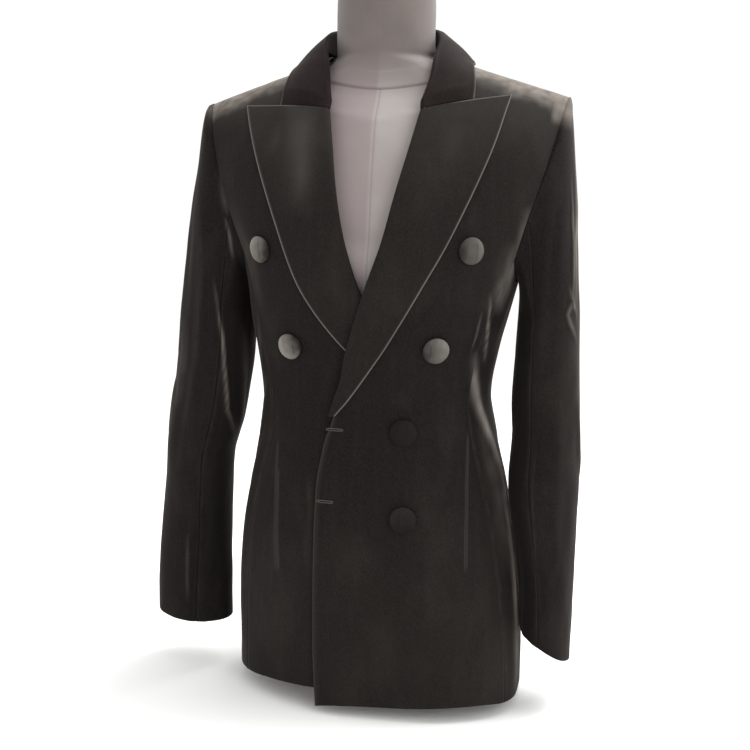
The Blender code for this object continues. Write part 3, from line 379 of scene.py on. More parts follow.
def refine(draft, rows, columns, mark=None):
    """A fine grid over a draft. mark gives, for each row, the share at which a line crosses it."""
    mean = np.mean([lengths(draft[:, i]) for i in range(draft.shape[1])], axis=0)
    row_at = np.interp(stations(mean[-1], (rows,)), mean, np.arange(len(mean)))
    counts = (columns,) if mark is None else (columns // 2, columns - columns // 2)
    fine = []
    for line in spline(draft, row_at):
        gone = lengths(line)
        places = stations(gone[-1], counts, None if mark is None else gone[-1] * mark(line))
        fine.append(spline(line, np.interp(places, gone, np.arange(len(gone)))))
    return np.array(fine)


def grid_normals(points):
    normals = np.cross(np.gradient(points, axis=1), np.gradient(points, axis=0))
    return normals / np.maximum(np.linalg.norm(normals, axis=2, keepdims=True), 1e-12)


def flat_size(grid, skip=8):
    """The longest row and the longest column; of the columns, all but every skip-th are left out."""
    return [float(max(lengths(line)[-1] for line in grid)),
            float(max(lengths(grid[:, i])[-1] for i in range(0, grid.shape[1], skip)))]


print("an edge has points at", EDGE_STEPS * 1000, "mm")

# %% [markdown]
# ## Folds, creases and pile
# A fold is drawn as a line of places with a width and a height. Across the line the cloth rises in a
# soft ridge with a shallow hollow on both sides, as a bent sheet does, and it fades at both ends.
# Each fold also writes a second value, a painted highlight that the material later reads as a paler
# colour: 0 is the plain dark cloth, 1 is a full painted highlight, standing in for the light that the ridge's pile
# catches.

# %% Fold maths
def path_distance(a, z, path, scale):
    """Distance from each point to a line of places, and how far along the line it is, 0 to 1."""
    line = np.array([(x * scale, y) for x, y in path])
    gone = lengths(line)
    best, share = np.full(a.shape, 1e9), np.zeros(a.shape)
    point = np.stack([a * scale, z], axis=-1)
    for k in range(len(line) - 1):
        along = line[k + 1] - line[k]
        t = np.clip(((point - line[k]) @ along) / (along @ along), 0.0, 1.0)
        away = np.linalg.norm(point - line[k] - t[..., None] * along, axis=-1)
        closer = away < best
        best = np.where(closer, away, best)
        share = np.where(closer, (gone[k] + t * (gone[k + 1] - gone[k])) / gone[-1], share)
    return best, share


def folds_at(a, z, folds, scale):
    """Height and painted highlight of a list of folds; a is in degrees and scale is metres for each degree."""
    rise, painted_sheen_and_seam = np.zeros(a.shape), np.zeros(a.shape)
    for path, width, height, shine in folds:
        away, share = path_distance(a, z, path, scale)
        fade = np.sqrt(np.clip(np.sin(math.pi * share), 0.0, 1.0))
        x = away / width
        rise += height * fade * (1.0 - 0.6 * x ** 2) * np.exp(-(x ** 2))
        painted_sheen_and_seam = np.maximum(painted_sheen_and_seam, shine * fade ** 2 * np.exp(-((away / (0.42 * width)) ** 2)))
    return rise, painted_sheen_and_seam


def stripe(away, middle, width):
    """1 at this distance from an edge, and fading to 0 on both sides of it."""
    return np.exp(-((away - middle) / width) ** 2)


def unevenness(points, size, seed):
    """Soft noise at every point, about -1 to 1, with lumps of this size; size may differ in z."""
    flat = points.reshape(-1, 3) / np.array(size) + seed * 17.3
    return np.array([noise.noise(Vector(p)) for p in flat]).reshape(points.shape[:2])


print("noise at one point:", round(float(unevenness(np.ones((1, 1, 3)), 0.03, 1)[0, 0]), 3))

# %% [markdown]
# ## Making a shell
# Each cut piece becomes a closed thin shell, an outer and an inner face joined by a rim. At a seam
# the outer face dives 3 mm inwards, as the two seam allowances do inside a jacket, so neighbours
# meet in a narrow rounded groove with no light showing through. At a hem or a lapel's edge the
# cloth is folded over, so both faces curve to meet in the middle of the thickness.

# %% Edge profiles and the shell builder
CLOTH = 0.0018                       # velvet, canvas and facing together
PROFILES = {                         # depth of the outer and the inner face at the EDGE_STEPS
    "seam": ((0.0030, 0.0008, 0.00025), (0.0030, 0.0026, 0.0021)),
    "shoulder": ((0.0020, 0.0008, 0.00025), (0.0021, 0.0020, 0.0019)),
    "fold": ((0.0009, 0.00035, 0.0001), (0.0009, 0.00145, 0.0017)),
}


def join_points(mesh):
    """Join points that share a place, such as the many at a dome's top, and turn all faces outwards."""
    work = bmesh.new()
    work.from_mesh(mesh)
    bmesh.ops.remove_doubles(work, verts=work.verts, dist=1e-6)
    bmesh.ops.recalc_face_normals(work, faces=work.faces)
    work.to_mesh(mesh)
    work.free()


def add_piece(name, points, faces, painted_sheen_and_seam=None, join=False):
    """A smooth mesh in the scene; the optional values per point, which the materials read, are painted
    highlights on the velvet and buttons and seam lines on the form.
    """
    mesh = bpy.data.meshes.new(name)
    mesh.from_pydata(np.asarray(points).tolist(), [], faces)
    if painted_sheen_and_seam is not None:
        values = np.clip(painted_sheen_and_seam, 0.0, 1.0).astype(np.float32).ravel()
        mesh.attributes.new("painted_sheen_and_seam", "FLOAT", "POINT").data.foreach_set("value", values)
    if join:
        join_points(mesh)
    mesh.shade_smooth()
    piece = bpy.data.objects.new(name, mesh)
    bpy.context.scene.collection.objects.link(piece)
    return piece


def shell(name, outer, edges, outward, painted_sheen_and_seam):
    """A closed thin piece. edges names a profile for the bottom, top, first and last border."""
    rows, columns, _ = outer.shape
    normals = grid_normals(outer)
    middle = normals[rows // 2, columns // 2]
    sign = 1.0 if np.dot(middle, outward) > 0 else -1.0
    normals = normals * sign
    deep = np.zeros((rows, columns))
    under = np.full((rows, columns), CLOTH)
    row_at, column_at = np.arange(rows), np.arange(columns)
    for border, kind in zip(("bottom", "top", "first", "last"), edges):
        near, far = PROFILES[kind]
        for k in range(3):
            at = k if border in ("bottom", "first") else -1 - k
            line = (at, slice(None)) if border in ("bottom", "top") else (slice(None), at)
            deep[line] = np.maximum(deep[line], near[k])
            deeper = np.minimum if kind == "fold" else np.maximum
            under[line] = deeper(under[line], far[k])
        if kind != "fold":
            if border == "bottom":
                row_at[:3] = 3
            elif border == "top":
                row_at[-3:] = rows - 4
            elif border == "first":
                column_at[:3] = 3
            else:
                column_at[-3:] = columns - 4
    inner = outer[row_at][:, column_at] - normals[row_at][:, column_at] * under[..., None]
    face = outer - normals * deep[..., None]
    points = np.concatenate([face.reshape(-1, 3), inner.reshape(-1, 3)]) + SHIFT
    number = np.arange(rows * columns).reshape(rows, columns)
    quads = np.stack([number[:-1, :-1], number[:-1, 1:], number[1:, 1:], number[1:, :-1]], axis=-1)
    quads = quads.reshape(-1, 4)
    hidden = quads[:, ::-1] + rows * columns
    border = np.concatenate([number[0, :], number[1:, -1], number[-1, -2::-1], number[-2:0:-1, 0]])
    ahead = np.roll(border, -1)
    rim = np.stack([ahead, border, border + rows * columns, ahead + rows * columns], axis=-1)
    faces = np.concatenate([quads, hidden, rim])
    if sign < 0:
        faces = faces[:, ::-1]
    values = np.concatenate([np.asarray(painted_sheen_and_seam).ravel(), np.zeros(rows * columns)])
    return add_piece(name, points, faces.tolist(), values)


def edge_distance(points):
    """Distance of every point from the first and the last column, along its row."""
    first = np.array([lengths(line) for line in points])
    return first, first[:, -1:] - first


print("shells are", CLOTH * 1000, "mm thick")

# %% [markdown]
# ## Materials
# **Cotton velvet** is woven with a cut pile about 1.5 mm high. It reflects almost nothing along its
# threads and a soft light across them, which the Principled shader's sheen gives. The colours are
# sRGB hex values turned to linear light by one function. The pile itself is far finer than a pixel,
# so it is drawn at about twice its real size.

# %% Colours and nodes
def linear(code):
    """An sRGB hex colour as linear red, green and blue, with alpha 1."""
    parts = [int(code[i:i + 2], 16) / 255 for i in (1, 3, 5)]
    return [c / 12.92 if c <= 0.04045 else ((c + 0.055) / 1.055) ** 2.4 for c in parts] + [1.0]


def add(tree, kind, inputs=(), **settings):
    """Add a node, set its settings, and fill or link its inputs.

    A Mix node of colours takes them on inputs 6 and 7 and gives its result on output 2.
    """
    node = tree.nodes.new(kind)
    for name, value in settings.items():
        setattr(node, name, value)
    for name, value in dict(inputs).items():
        if isinstance(value, bpy.types.NodeSocket):
            tree.links.new(value, node.inputs[name])
        else:
            node.inputs[name].default_value = value
    return node


def material(name):
    new = bpy.data.materials.new(name)
    new.use_nodes = True
    return new, new.node_tree, new.node_tree.nodes["Principled BSDF"]


print("near black as linear light:", [round(v, 4) for v in linear("#0C0A09")[:3]])

# %% [markdown]
# The paler marks on the velvet are painted highlights, standing in for light that the pile catches:
# faint upright streaks, soft patches and the light line of each fold. Four values are added up and
# mix a dark colour with a paler one: the painted highlights of the mesh, painted streaks 7 mm wide,
# painted patches of 60 mm, and the pile itself at 0.9 mm, which is its grain. The dark colour drifts
# between two near blacks over 90 mm, as a dye does. The bump is the same pile, stretched downwards
# because velvet for clothes is brushed down.

# %% Cotton velvet
MM = 0.001


def velvet(name, dark, warm, light, patches, sheen):
    cloth, tree, shader = material(name)
    place_at = add(tree, "ShaderNodeTexCoord").outputs["Object"]

    def grain(size, tall, low, high, most, detail=3.0):
        """Noise of this width and height, as a value from 0 to most."""
        squeezed = add(tree, "ShaderNodeMapping", {"Vector": place_at, "Scale": (1.0, 1.0, size / tall)})
        spots = add(tree, "ShaderNodeTexNoise", {"Vector": squeezed.outputs["Vector"], "Scale": 1 / size,
                                                 "Detail": detail, "Roughness": 0.6})
        share = add(tree, "ShaderNodeMapRange", {"Value": spots.outputs["Fac"], "From Min": low,
                                                 "From Max": high, "To Max": most})
        return spots.outputs["Fac"], share.outputs["Result"]

    pile, specks = grain(0.9 * MM, 2.2 * MM, 0.35, 0.75, 0.04)
    _, streaks = grain(7 * MM, 90 * MM, 0.50, 0.72, 0.30 * patches)
    _, cloud = grain(60 * MM, 110 * MM, 0.48, 0.74, patches)
    # Painted highlights: the mesh's value, plus painted streaks and patches and the pile's specks, mix the dark
    # colour towards the paler one.
    painted_shine = add(tree, "ShaderNodeAttribute", attribute_name="painted_sheen_and_seam").outputs["Fac"]
    for more in (specks, streaks, cloud):
        total = add(tree, "ShaderNodeMath", {0: painted_shine, 1: more}, operation="ADD", use_clamp=True)
        painted_shine = total.outputs["Value"]
    tint, _ = grain(90 * MM, 120 * MM, 0.4, 0.6, 1.0, 1.0)
    shade = add(tree, "ShaderNodeMix", {"Factor": tint, 6: linear(dark), 7: linear(warm)}, data_type="RGBA")
    colour = add(tree, "ShaderNodeMix", {"Factor": painted_shine, 6: shade.outputs[2], 7: linear(light)},
                 data_type="RGBA")
    bump = add(tree, "ShaderNodeBump", {"Height": pile, "Strength": 0.35, "Distance": 0.4 * MM})
    tree.links.new(colour.outputs[2], shader.inputs["Base Color"])
    tree.links.new(bump.outputs["Normal"], shader.inputs["Normal"])
    shader.inputs["Roughness"].default_value = 0.9
    shader.inputs["Specular IOR Level"].default_value = 0.12
    shader.inputs["Sheen Weight"].default_value = sheen
    shader.inputs["Sheen Roughness"].default_value = 0.30
    shader.inputs["Sheen Tint"].default_value = linear("#AD9D94")
    return cloth


# The fourth colour of each velvet is the paler colour of its painted highlights.
blazer_velvet = velvet("cotton_velvet", "#0C0A09", "#100C0A", "#8A827B", 0.022, 0.146)
collar_velvet = velvet("cotton_velvet_collar", "#110C0B", "#160E0D", "#857A73", 0.02, 0.16)
button_velvet = velvet("pale_button_velvet", "#211D1B", "#26211F", "#88837C", 0.30, 0.20)
dark_button_velvet = velvet("dark_button_velvet", "#0D0B0A", "#110D0C", "#4E4945", 0.06, 0.16)
print("velvets:", blazer_velvet.name, button_velvet.name, dark_button_velvet.name)

# %% [markdown]
# ** Polyester jersey** covers the dress form. It is a fine knit, pulled tight, so it shows only
# a faint vertical rib and soft marks of handling. Its real rib is under 1 mm and is drawn at 2 mm, so
# that it shows at all. It has little gloss. The front gore on the wearer's left is painted lighter, a
# painted light from that side, and the neck is greyer.

# %% Jersey
def jersey():
    cover, tree, shader = material("polyester_jersey")
    place_at = add(tree, "ShaderNodeTexCoord").outputs["Object"]
    # A wave repeats every 0.314 of the length in its scale: 2.0 mm for the rib, 1.6 mm for the rows.
    rib = add(tree, "ShaderNodeTexWave", {"Vector": place_at, "Scale": 1 / (6.3 * MM), "Distortion": 0.6},
              bands_direction="X").outputs["Fac"]
    course = add(tree, "ShaderNodeTexWave", {"Vector": place_at, "Scale": 1 / (5.2 * MM),
                                             "Distortion": 0.6}, bands_direction="Z").outputs["Fac"]
    knit = add(tree, "ShaderNodeMath", {0: rib, 1: course}, operation="MULTIPLY").outputs["Value"]
    cloud = add(tree, "ShaderNodeTexNoise", {"Vector": place_at, "Scale": 1 / (60 * MM), "Detail": 4.0})
    where = add(tree, "ShaderNodeSeparateXYZ", {"Vector": place_at}).outputs
    neck = add(tree, "ShaderNodeMapRange", {"Value": where["Z"], "From Min": 0.668, "From Max": 0.722})
    # Painted light: the gore on the wearer's left is painted lighter, as the light falls from that side.
    halves = add(tree, "ShaderNodeMapRange", {"Value": where["X"], "From Min": 0.0180, "From Max": 0.0215})
    marks = add(tree, "ShaderNodeMapRange", {"Value": cloud.outputs["Fac"], "From Min": 0.35,
                                             "From Max": 0.65, "To Max": 0.30})
    seam = add(tree, "ShaderNodeAttribute", attribute_name="painted_sheen_and_seam")
    colour = linear("#8F8383")       # the gore on the wearer's right, with the rest laid over it
    for factor, over in ((halves.outputs["Result"], "#9B9491"), (neck.outputs["Result"], "#5E5753"),
                         (marks.outputs["Result"], "#7F7472"), (seam.outputs["Fac"], "#4A4140")):
        layer = add(tree, "ShaderNodeMix", {"Factor": factor, 6: colour, 7: linear(over)}, data_type="RGBA")
        colour = layer.outputs[2]
    bump = add(tree, "ShaderNodeBump", {"Height": knit, "Strength": 0.2, "Distance": 0.15 * MM})
    tree.links.new(colour, shader.inputs["Base Color"])
    tree.links.new(bump.outputs["Normal"], shader.inputs["Normal"])
    shader.inputs["Roughness"].default_value = 0.62
    shader.inputs["Specular IOR Level"].default_value = 0.25
    shader.inputs["Sheen Weight"].default_value = 0.15
    shader.inputs["Sheen Roughness"].default_value = 0.5
    return cover


form_jersey = jersey()
print("the form is covered in", form_jersey.name)

# %% [markdown]
# ## The body panels
# Each half of the body is a front, a panel under the arm and a back. The seam between front and
# panel runs over the bust point's outside and nips in at the waist, which is where the cloth pulls
# into its brightest folds. A dart, a pinched and stitched line, takes in the front below the waist.

# %% Draft the panels
TORSO_ROWS, UPPER_ROWS = 30, 16
FRONT_COLUMNS, SIDE_COLUMNS, BACK_COLUMNS = 14, 6, 12


def body_point(side, angle, z):
    point = section_point(side, angle, z)
    across = SIDES[side] * point[0]
    lift = lap_lift(side, across, z)
    return point + front_normal(side, across, z) * lift if lift > 0 else point


def draft_front(side):
    """Rows from the hem to the shoulder seam, columns from the front edge to the side seam."""
    first = angle_at(side, edge_across(side, ARMHOLE_LEVEL), ARMHOLE_LEVEL)
    last = read(SEAMS, "front_seam", ARMHOLE_LEVEL)
    near, far = edge_across(side, ARMHOLE_LEVEL), ARMHOLE["front_across"][0]
    shares = np.linspace(0.0, 1.0, FRONT_COLUMNS + 1)
    levels = [SIDES[side] * section_point(side, first + (last - first) * u, ARMHOLE_LEVEL)[0]
              for u in shares]
    rows = []
    for v in np.linspace(0.0, 1.0, TORSO_ROWS + 1):
        row = []
        for u in shares:
            z = HEM[side]["height"][1] * (1 - v) + ARMHOLE_LEVEL * v
            for _ in range(2):
                start = angle_at(side, edge_across(side, z), z)
                angle = start + (read(SEAMS, "front_seam", z) - start) * u
                z = read(HEM[side], "height", angle, by="angle") * (1 - v) + ARMHOLE_LEVEL * v
            row.append(body_point(side, angle, z))
        rows.append(row)
    for turn in np.linspace(0.0, 90.0, UPPER_ROWS + 1)[1:]:
        rise = math.sin(math.radians(turn)) ** (2 / FRONT_POWER)
        outer = levels[-1] + read(ARMHOLE, "front_across", rise, by="rise") - far
        inner = near
        for _ in range(4):
            inner = edge_across(side, chest_point(side, inner, turn)[2])
        row = []
        for level_across in levels:
            across = inner + (outer - inner) * (level_across - near) / (levels[-1] - near)
            point = chest_point(side, across, turn)
            lift = lap_lift(side, across, point[2])
            row.append(point + front_normal(side, across, point[2]) * lift if lift > 0 else point)
        rows.append(row)
    return np.array(rows)


def draft_side(side):
    """Rows from the hem to the armhole, columns from the front seam to the back seam."""
    rows = []
    for v in np.linspace(0.0, 1.0, TORSO_ROWS + 1):
        row = []
        for u in np.linspace(0.0, 1.0, SIDE_COLUMNS + 1):
            z = ARMHOLE_LEVEL * v
            for _ in range(3):
                front, rear = read(SEAMS, "front_seam", z), read(SEAMS, "back_seam", z)
                angle = front + (rear - front) * u
                top = ARMHOLE_LEVEL - ARMHOLE_DIP * (1 - (2 * u - 1) ** 2)
                z = read(HEM[side], "height", angle, by="angle") * (1 - v) + top * v
            row.append(section_point(side, angle, z))
        rows.append(row)
    return np.array(rows)


def neck_height(side, across):
    """Height of the back's top edge: the neckline, then the shoulder seam."""
    if across < NECKLINE["across"][-1]:
        return min(read(NECKLINE, "height", across, by="across"), shoulder_height(side, across))
    return shoulder_height(side, across)


def draft_back(side):
    """Rows from the hem to the neck, columns from the side panel to the centre seam."""
    first = read(SEAMS, "back_seam", ARMHOLE_LEVEL)
    start = SIDES[side] * section_point(side, first, ARMHOLE_LEVEL)[0]
    base = ARMHOLE["back_across"][0]
    shares = np.linspace(0.0, 1.0, BACK_COLUMNS + 1)
    rows = []
    for v in np.linspace(0.0, 1.0, TORSO_ROWS + 1):
        row = []
        for u in shares:
            z = ARMHOLE_LEVEL * v
            for _ in range(3):
                seam = read(SEAMS, "back_seam", z)
                angle = seam + (180.0 - seam) * u
                z = read(HEM[side], "height", angle, by="angle") * (1 - v) + ARMHOLE_LEVEL * v
            row.append(section_point(side, angle, z))
        rows.append(row)
    for w in np.linspace(0.0, 1.0, UPPER_ROWS + 1)[1:]:
        row = []
        for u in shares:
            here = SIDES[side] * section_point(side, first + (180.0 - first) * u, ARMHOLE_LEVEL)[0]
            across = here
            for _ in range(3):
                top = 180.0 - turn_at(side, across, neck_height(side, across), behind=True)
                rise = math.sin(math.radians(top * w)) ** (2 / BACK_POWER)
                across = (start + read(ARMHOLE, "back_across", rise, by="rise") - base) * here / start
            row.append(chest_point(side, across, 180.0 - top * w))
        rows.append(row)
    return np.array(rows)


drafts = {(part, side): make(side) for side in SIDES
          for part, make in (("front", draft_front), ("side", draft_side), ("back", draft_back))}
print("drafted", len(drafts), "panels; the left front has", drafts["front", "left"].shape[:2], "points")

# %% [markdown]
# The folds of the body are listed once, by the angle round the body and the height. On the wearer's
# left they follow the photograph's waist; on the other side and the back, which the photograph
# doesn't show, there are similar ones, never the same twice.

# %% Folds of the body
BODY_FOLDS = {                       # places (angle, height), width, height of the ridge, painted highlight
    "left": (
        (((58, 0.470), (61, 0.453), (64, 0.426), (69, 0.385)), 0.0048, 0.0020, 0.46),
        (((57, 0.448), (57, 0.421), (56, 0.402)), 0.0034, 0.0010, 0.20),
        (((58, 0.405), (63, 0.370), (67, 0.347), (72, 0.323), (76, 0.299), (79, 0.270), (81, 0.225)),
         0.0140, 0.0033, 1.0),
        (((77, 0.310), (79, 0.253), (78, 0.209), (76, 0.165), (74, 0.121), (72, 0.078), (70, 0.020)),
         0.0105, 0.0018, 1.0),
        (((70, 0.330), (74, 0.250), (73, 0.150)), 0.0340, 0.0, 0.13),
        (((62, 0.345), (68, 0.295), (70, 0.235)), 0.0090, -0.0016, 0.0),
        (((68, 0.560), (69, 0.528), (69, 0.495)), 0.0150, 0.0006, 0.26),
        (((70, 0.525), (69, 0.480), (67, 0.440)), 0.0360, 0.0, 0.34),
        (((78, 0.480), (78, 0.445), (76, 0.400)), 0.0100, 0.0010, 0.24),
        (((66, 0.200), (62, 0.120), (60, 0.040)), 0.0140, -0.0018, 0.0),
        (((122, 0.440), (110, 0.370), (98, 0.290)), 0.0150, 0.0028, 0.05),
        (((144, 0.420), (128, 0.350), (116, 0.270)), 0.0180, 0.0028, 0.03),
        (((174, 0.372), (152, 0.335), (130, 0.325)), 0.0170, 0.0018, 0.02),
        (((154, 0.600), (140, 0.510), (130, 0.420)), 0.0220, 0.0022, 0.02),
    ),
    "right": (
        (((61, 0.440), (65, 0.400), (70, 0.365)), 0.0060, 0.0020, 0.14),
        (((63, 0.370), (72, 0.320), (84, 0.265)), 0.0080, 0.0024, 0.16),
        (((56, 0.330), (62, 0.280), (66, 0.210)), 0.0100, -0.0018, 0.0),
        (((78, 0.230), (76, 0.150), (72, 0.050)), 0.0130, 0.0018, 0.12),
        (((68, 0.560), (66, 0.515), (62, 0.470), (58, 0.440)), 0.0340, 0.0, 0.10),
        (((48, 0.240), (47, 0.200), (46, 0.150)), 0.0060, 0.0008, 0.05),
        (((31, 0.268), (30, 0.210), (29, 0.150)), 0.0060, 0.0008, 0.05),
        (((126, 0.430), (114, 0.360), (104, 0.280)), 0.0150, 0.0026, 0.04),
        (((150, 0.410), (134, 0.345), (120, 0.270)), 0.0180, 0.0026, 0.03),
        (((176, 0.342), (154, 0.322), (134, 0.296)), 0.0160, 0.0016, 0.02),
        (((158, 0.620), (144, 0.530), (130, 0.430)), 0.0220, 0.0022, 0.02),
    ),
}
DARTS = {"left": ((58.0, 0.318), (53.0, 0.241), (48.0, 0.160)),
         "right": ((54.0, 0.300), (49.0, 0.230), (45.5, 0.146))}
BODY_DEGREE = 0.0024                 # metres round the body for each degree


def body_angle(side, points):
    centre = np.array([read(BODY, "centre", min(z, 0.5)) for z in points[:, 0, 2]])[:, None]
    return np.degrees(np.arctan2(SIDES[side] * (points[..., 0] - centre), -points[..., 1]))


def dart_share(side):
    """The share of a front's row at which its dart's line comes."""
    heights, angles = [z for _, z in reversed(DARTS[side])], [a for a, _ in reversed(DARTS[side])]

    def share(line):
        wanted = np.interp(line[0, 2], heights, angles)
        centre = read(BODY, "centre", min(line[0, 2], 0.5))
        angle = np.degrees(np.arctan2(SIDES[side] * (line[:, 0] - centre), -line[:, 1]))
        gone = lengths(line)
        return float(np.clip(np.interp(wanted, angle, gone) / gone[-1], 0.25, 0.85))

    return share


SHOULDER_LEVEL = {"left": 0.66, "right": 0.76}                   # painted highlight on top of the shoulder
CHEST_FADE = {"left": (0.595, 0.665), "right": (0.625, 0.665)}   # heights over which the chest is painted paler, a painted highlight from the light above
TIP_LEVEL = 0.66                     # painted highlight on the left front beside the sleeve's head


def shoulder_highlight(side, points, level, seed):
    """Painted highlight on the shoulder's top, where light from above grazes the pile; it fades down the chest and
    the back.
    """
    down = np.array([shoulder_height(side, abs(x)) - z + 0.15 * abs(y - RIDGE_DEPTH)
                     for x, y, z in points.reshape(-1, 3)]).reshape(points.shape[:2])
    ragged = down + 0.007 * unevenness(points, (0.022, 0.022, 0.022), seed)
    specks = 0.85 + 0.5 * unevenness(points, (0.007, 0.007, 0.007), seed + 1)
    return level * (1.0 - ramp(ragged, 0.006, 0.037)) * specks


print("folds:", {side: len(rows) for side, rows in BODY_FOLDS.items()})

# %% Make the body panels
SEAM_LINE, SEAM_LINE_WIDTH = 0.0016, 0.0010   # metres from a seam to the painted highlight line beside it, and its width


def sew(rise, painted_sheen_and_seam, seams, ripple, pucker, shine):
    """Puckers and a faint painted highlight line beside each seam, and no fold on the seam itself."""
    for away in seams:
        rise = rise + pucker * ripple * np.exp(-away / 0.007)
        painted_sheen_and_seam = np.maximum(painted_sheen_and_seam, shine * stripe(away, SEAM_LINE, SEAM_LINE_WIDTH) * (0.6 + 0.6 * ripple))
        rise = rise * (1.0 - 0.85 * stripe(away, 0.0, 0.004))
    return rise, painted_sheen_and_seam


def press(side, grid, seams, seed):
    """Folds, puckers beside the seams and soft unevenness, with the normals that they rise along."""
    normals = grid_normals(grid)
    middle = len(grid) // 2, grid.shape[1] // 2
    if np.dot(normals[middle], grid[middle] * (1, 1, 0)) < 0:
        normals = -normals
    angle, z = body_angle(side, grid), grid[..., 2]
    rise, painted_sheen_and_seam = folds_at(angle, z, BODY_FOLDS[side], BODY_DEGREE)
    painted_sheen_and_seam *= 0.85 + 0.5 * unevenness(grid, (0.010, 0.010, 0.020), seed + 3)
    # Painted highlights: paler near the hem and above the waist, paler again up the chest, on the shoulder's top
    # and, on the left, beside the sleeve's head, where the light grazes the pile.
    painted_sheen_and_seam += 0.012 * (1.0 - ramp(z, 0.08, 0.28)) + 0.008 * ramp(z, 0.42, 0.60)
    painted_sheen_and_seam += 0.045 * ramp(z, *CHEST_FADE[side])
    painted_sheen_and_seam = np.maximum(painted_sheen_and_seam, shoulder_highlight(side, grid, SHOULDER_LEVEL[side], seed + 4))
    if side == "left":
        tip = ramp(np.abs(grid[..., 0]), 0.180, 0.188) * ramp(z, 0.640, 0.660)
        specks = 0.9 + 0.4 * unevenness(grid, (0.012, 0.012, 0.012), seed + 6)
        painted_sheen_and_seam = np.maximum(painted_sheen_and_seam, TIP_LEVEL * tip * specks)
    calm = 1.0 - ramp(z, 0.60, 0.66)
    rise = rise * calm
    rise += 0.0009 * calm * unevenness(grid, (0.050, 0.050, 0.110), seed)
    rise += 0.0004 * unevenness(grid, (0.022, 0.022, 0.030), seed + 1)
    ripple = unevenness(grid, (0.030, 0.030, 0.011), seed + 2)
    away = dict(zip(("first", "last"), edge_distance(grid)))
    rise, painted_sheen_and_seam = sew(rise, painted_sheen_and_seam, [away[name] for name in seams.split()], ripple, 0.0006, 0.07)
    return rise, painted_sheen_and_seam, normals


made = {}
for side in SIDES:
    for part, rows, columns, edges, seams in (
            ("front", 190, 64, ("fold", "shoulder", "fold", "seam"), "last"),
            ("side", 150, 26, ("fold", "seam", "seam", "seam"), "first last"),
            ("back", 180, 52, ("fold", "shoulder", "seam", "seam"), "first last")):
        dart = dart_share(side) if part == "front" else None
        grid = refine(drafts[part, side], rows, columns, dart)
        seed = {"front": 1, "side": 2, "back": 3}[part] + (5 if side == "left" else 11)
        rise, painted_sheen_and_seam, normals = press(side, grid, seams, seed)
        if part == "front":
            away, share = path_distance(body_angle(side, grid), grid[..., 2], DARTS[side], BODY_DEGREE)
            fade = ramp(share, 0.0, 0.10) * (1.0 - ramp(share, 0.90, 1.0))
            rise -= 0.0012 * fade * stripe(away, 0.0, 0.0010)
            # Painted highlight lines beside the dart and along the front edge.
            painted_sheen_and_seam = np.maximum(painted_sheen_and_seam, 0.08 * fade * stripe(away, 0.0011, 0.0009))
            first, _ = edge_distance(grid)
            painted_sheen_and_seam = np.maximum(painted_sheen_and_seam, 0.09 * stripe(first, 0.0012, 0.0012))
        made[part, side] = shell(f"velvet_{part}_{side}", grid + normals * rise[..., None], edges,
                                 grid[rows // 2, columns // 2] * (1.0, 1.0, 0.0), painted_sheen_and_seam)
        made[part, side]["flat"] = flat_size(grid)
print("made", len(made), "panels,", sum(len(p.data.polygons) for p in made.values()), "faces")

# %% [markdown]
# ## The sleeves
# A tailored sleeve is two pieces, a top sleeve and a narrower under sleeve, joined by a seam in
# front and one behind. Its head is eased into the armhole, so it stands a little proud and falls
# over the arm. Empty sleeves hang nearly straight, with long soft drags from the armhole and short
# breaks at the elbow.

# %% Draft the sleeves
CAP_FOOT, CAP_ROWS, TUBE_ROWS, UNDERARM_GAP = 0.440, 12, 22, 0.0006
HEAD_FULLNESS = {"left": (0.35, 0.0), "right": (0.30, 0.60)}   # 1 is a ball; what the very top adds
CUFF_POWER = 1.6                     # the cuff slants most on its outer side
UNDER_FROM, UNDER_TO = 122.0, 234.0
FRONT_SEAM_TURN, BACK_SEAM_TURN = 117.0, 234.0


def sleeve_point(side, turn, z):
    rows = SLEEVE[side]
    x, y, half_x, half_y = [read(rows, name, z) for name in ("middle_x", "middle_y", "half_x", "half_y")]
    arc = math.radians(turn)
    return np.array([SIDES[side] * (x + half_x * math.cos(arc)), y - half_y * math.sin(arc), z])


def armhole_ring(side):
    front, panel, rear = (drafts[part, side] for part in ("front", "side", "back"))
    ring = list(front[:TORSO_ROWS - 1:-1, -1]) + list(panel[-1, 1:-1]) + list(rear[TORSO_ROWS:-1, 0])
    return np.array(ring)


def sleeve_turns(ring, tube):
    gone = lengths(np.concatenate([ring, ring[:1]]))
    first, last = gone[UPPER_ROWS], gone[UPPER_ROWS + SIDE_COLUMNS]
    evenness = 2.0 + (1.3 - 2.0) * tube
    turns = []
    for g in gone[:-1]:
        if g <= first:
            turns.append(UNDER_FROM * (1 - (1 - g / first) ** evenness))
        elif g <= last:
            turns.append(UNDER_FROM + (UNDER_TO - UNDER_FROM) * (g - first) / (last - first))
        else:
            turns.append(UNDER_TO + (360.0 - UNDER_TO) * ((g - last) / (gone[-1] - last)) ** evenness)
    return turns


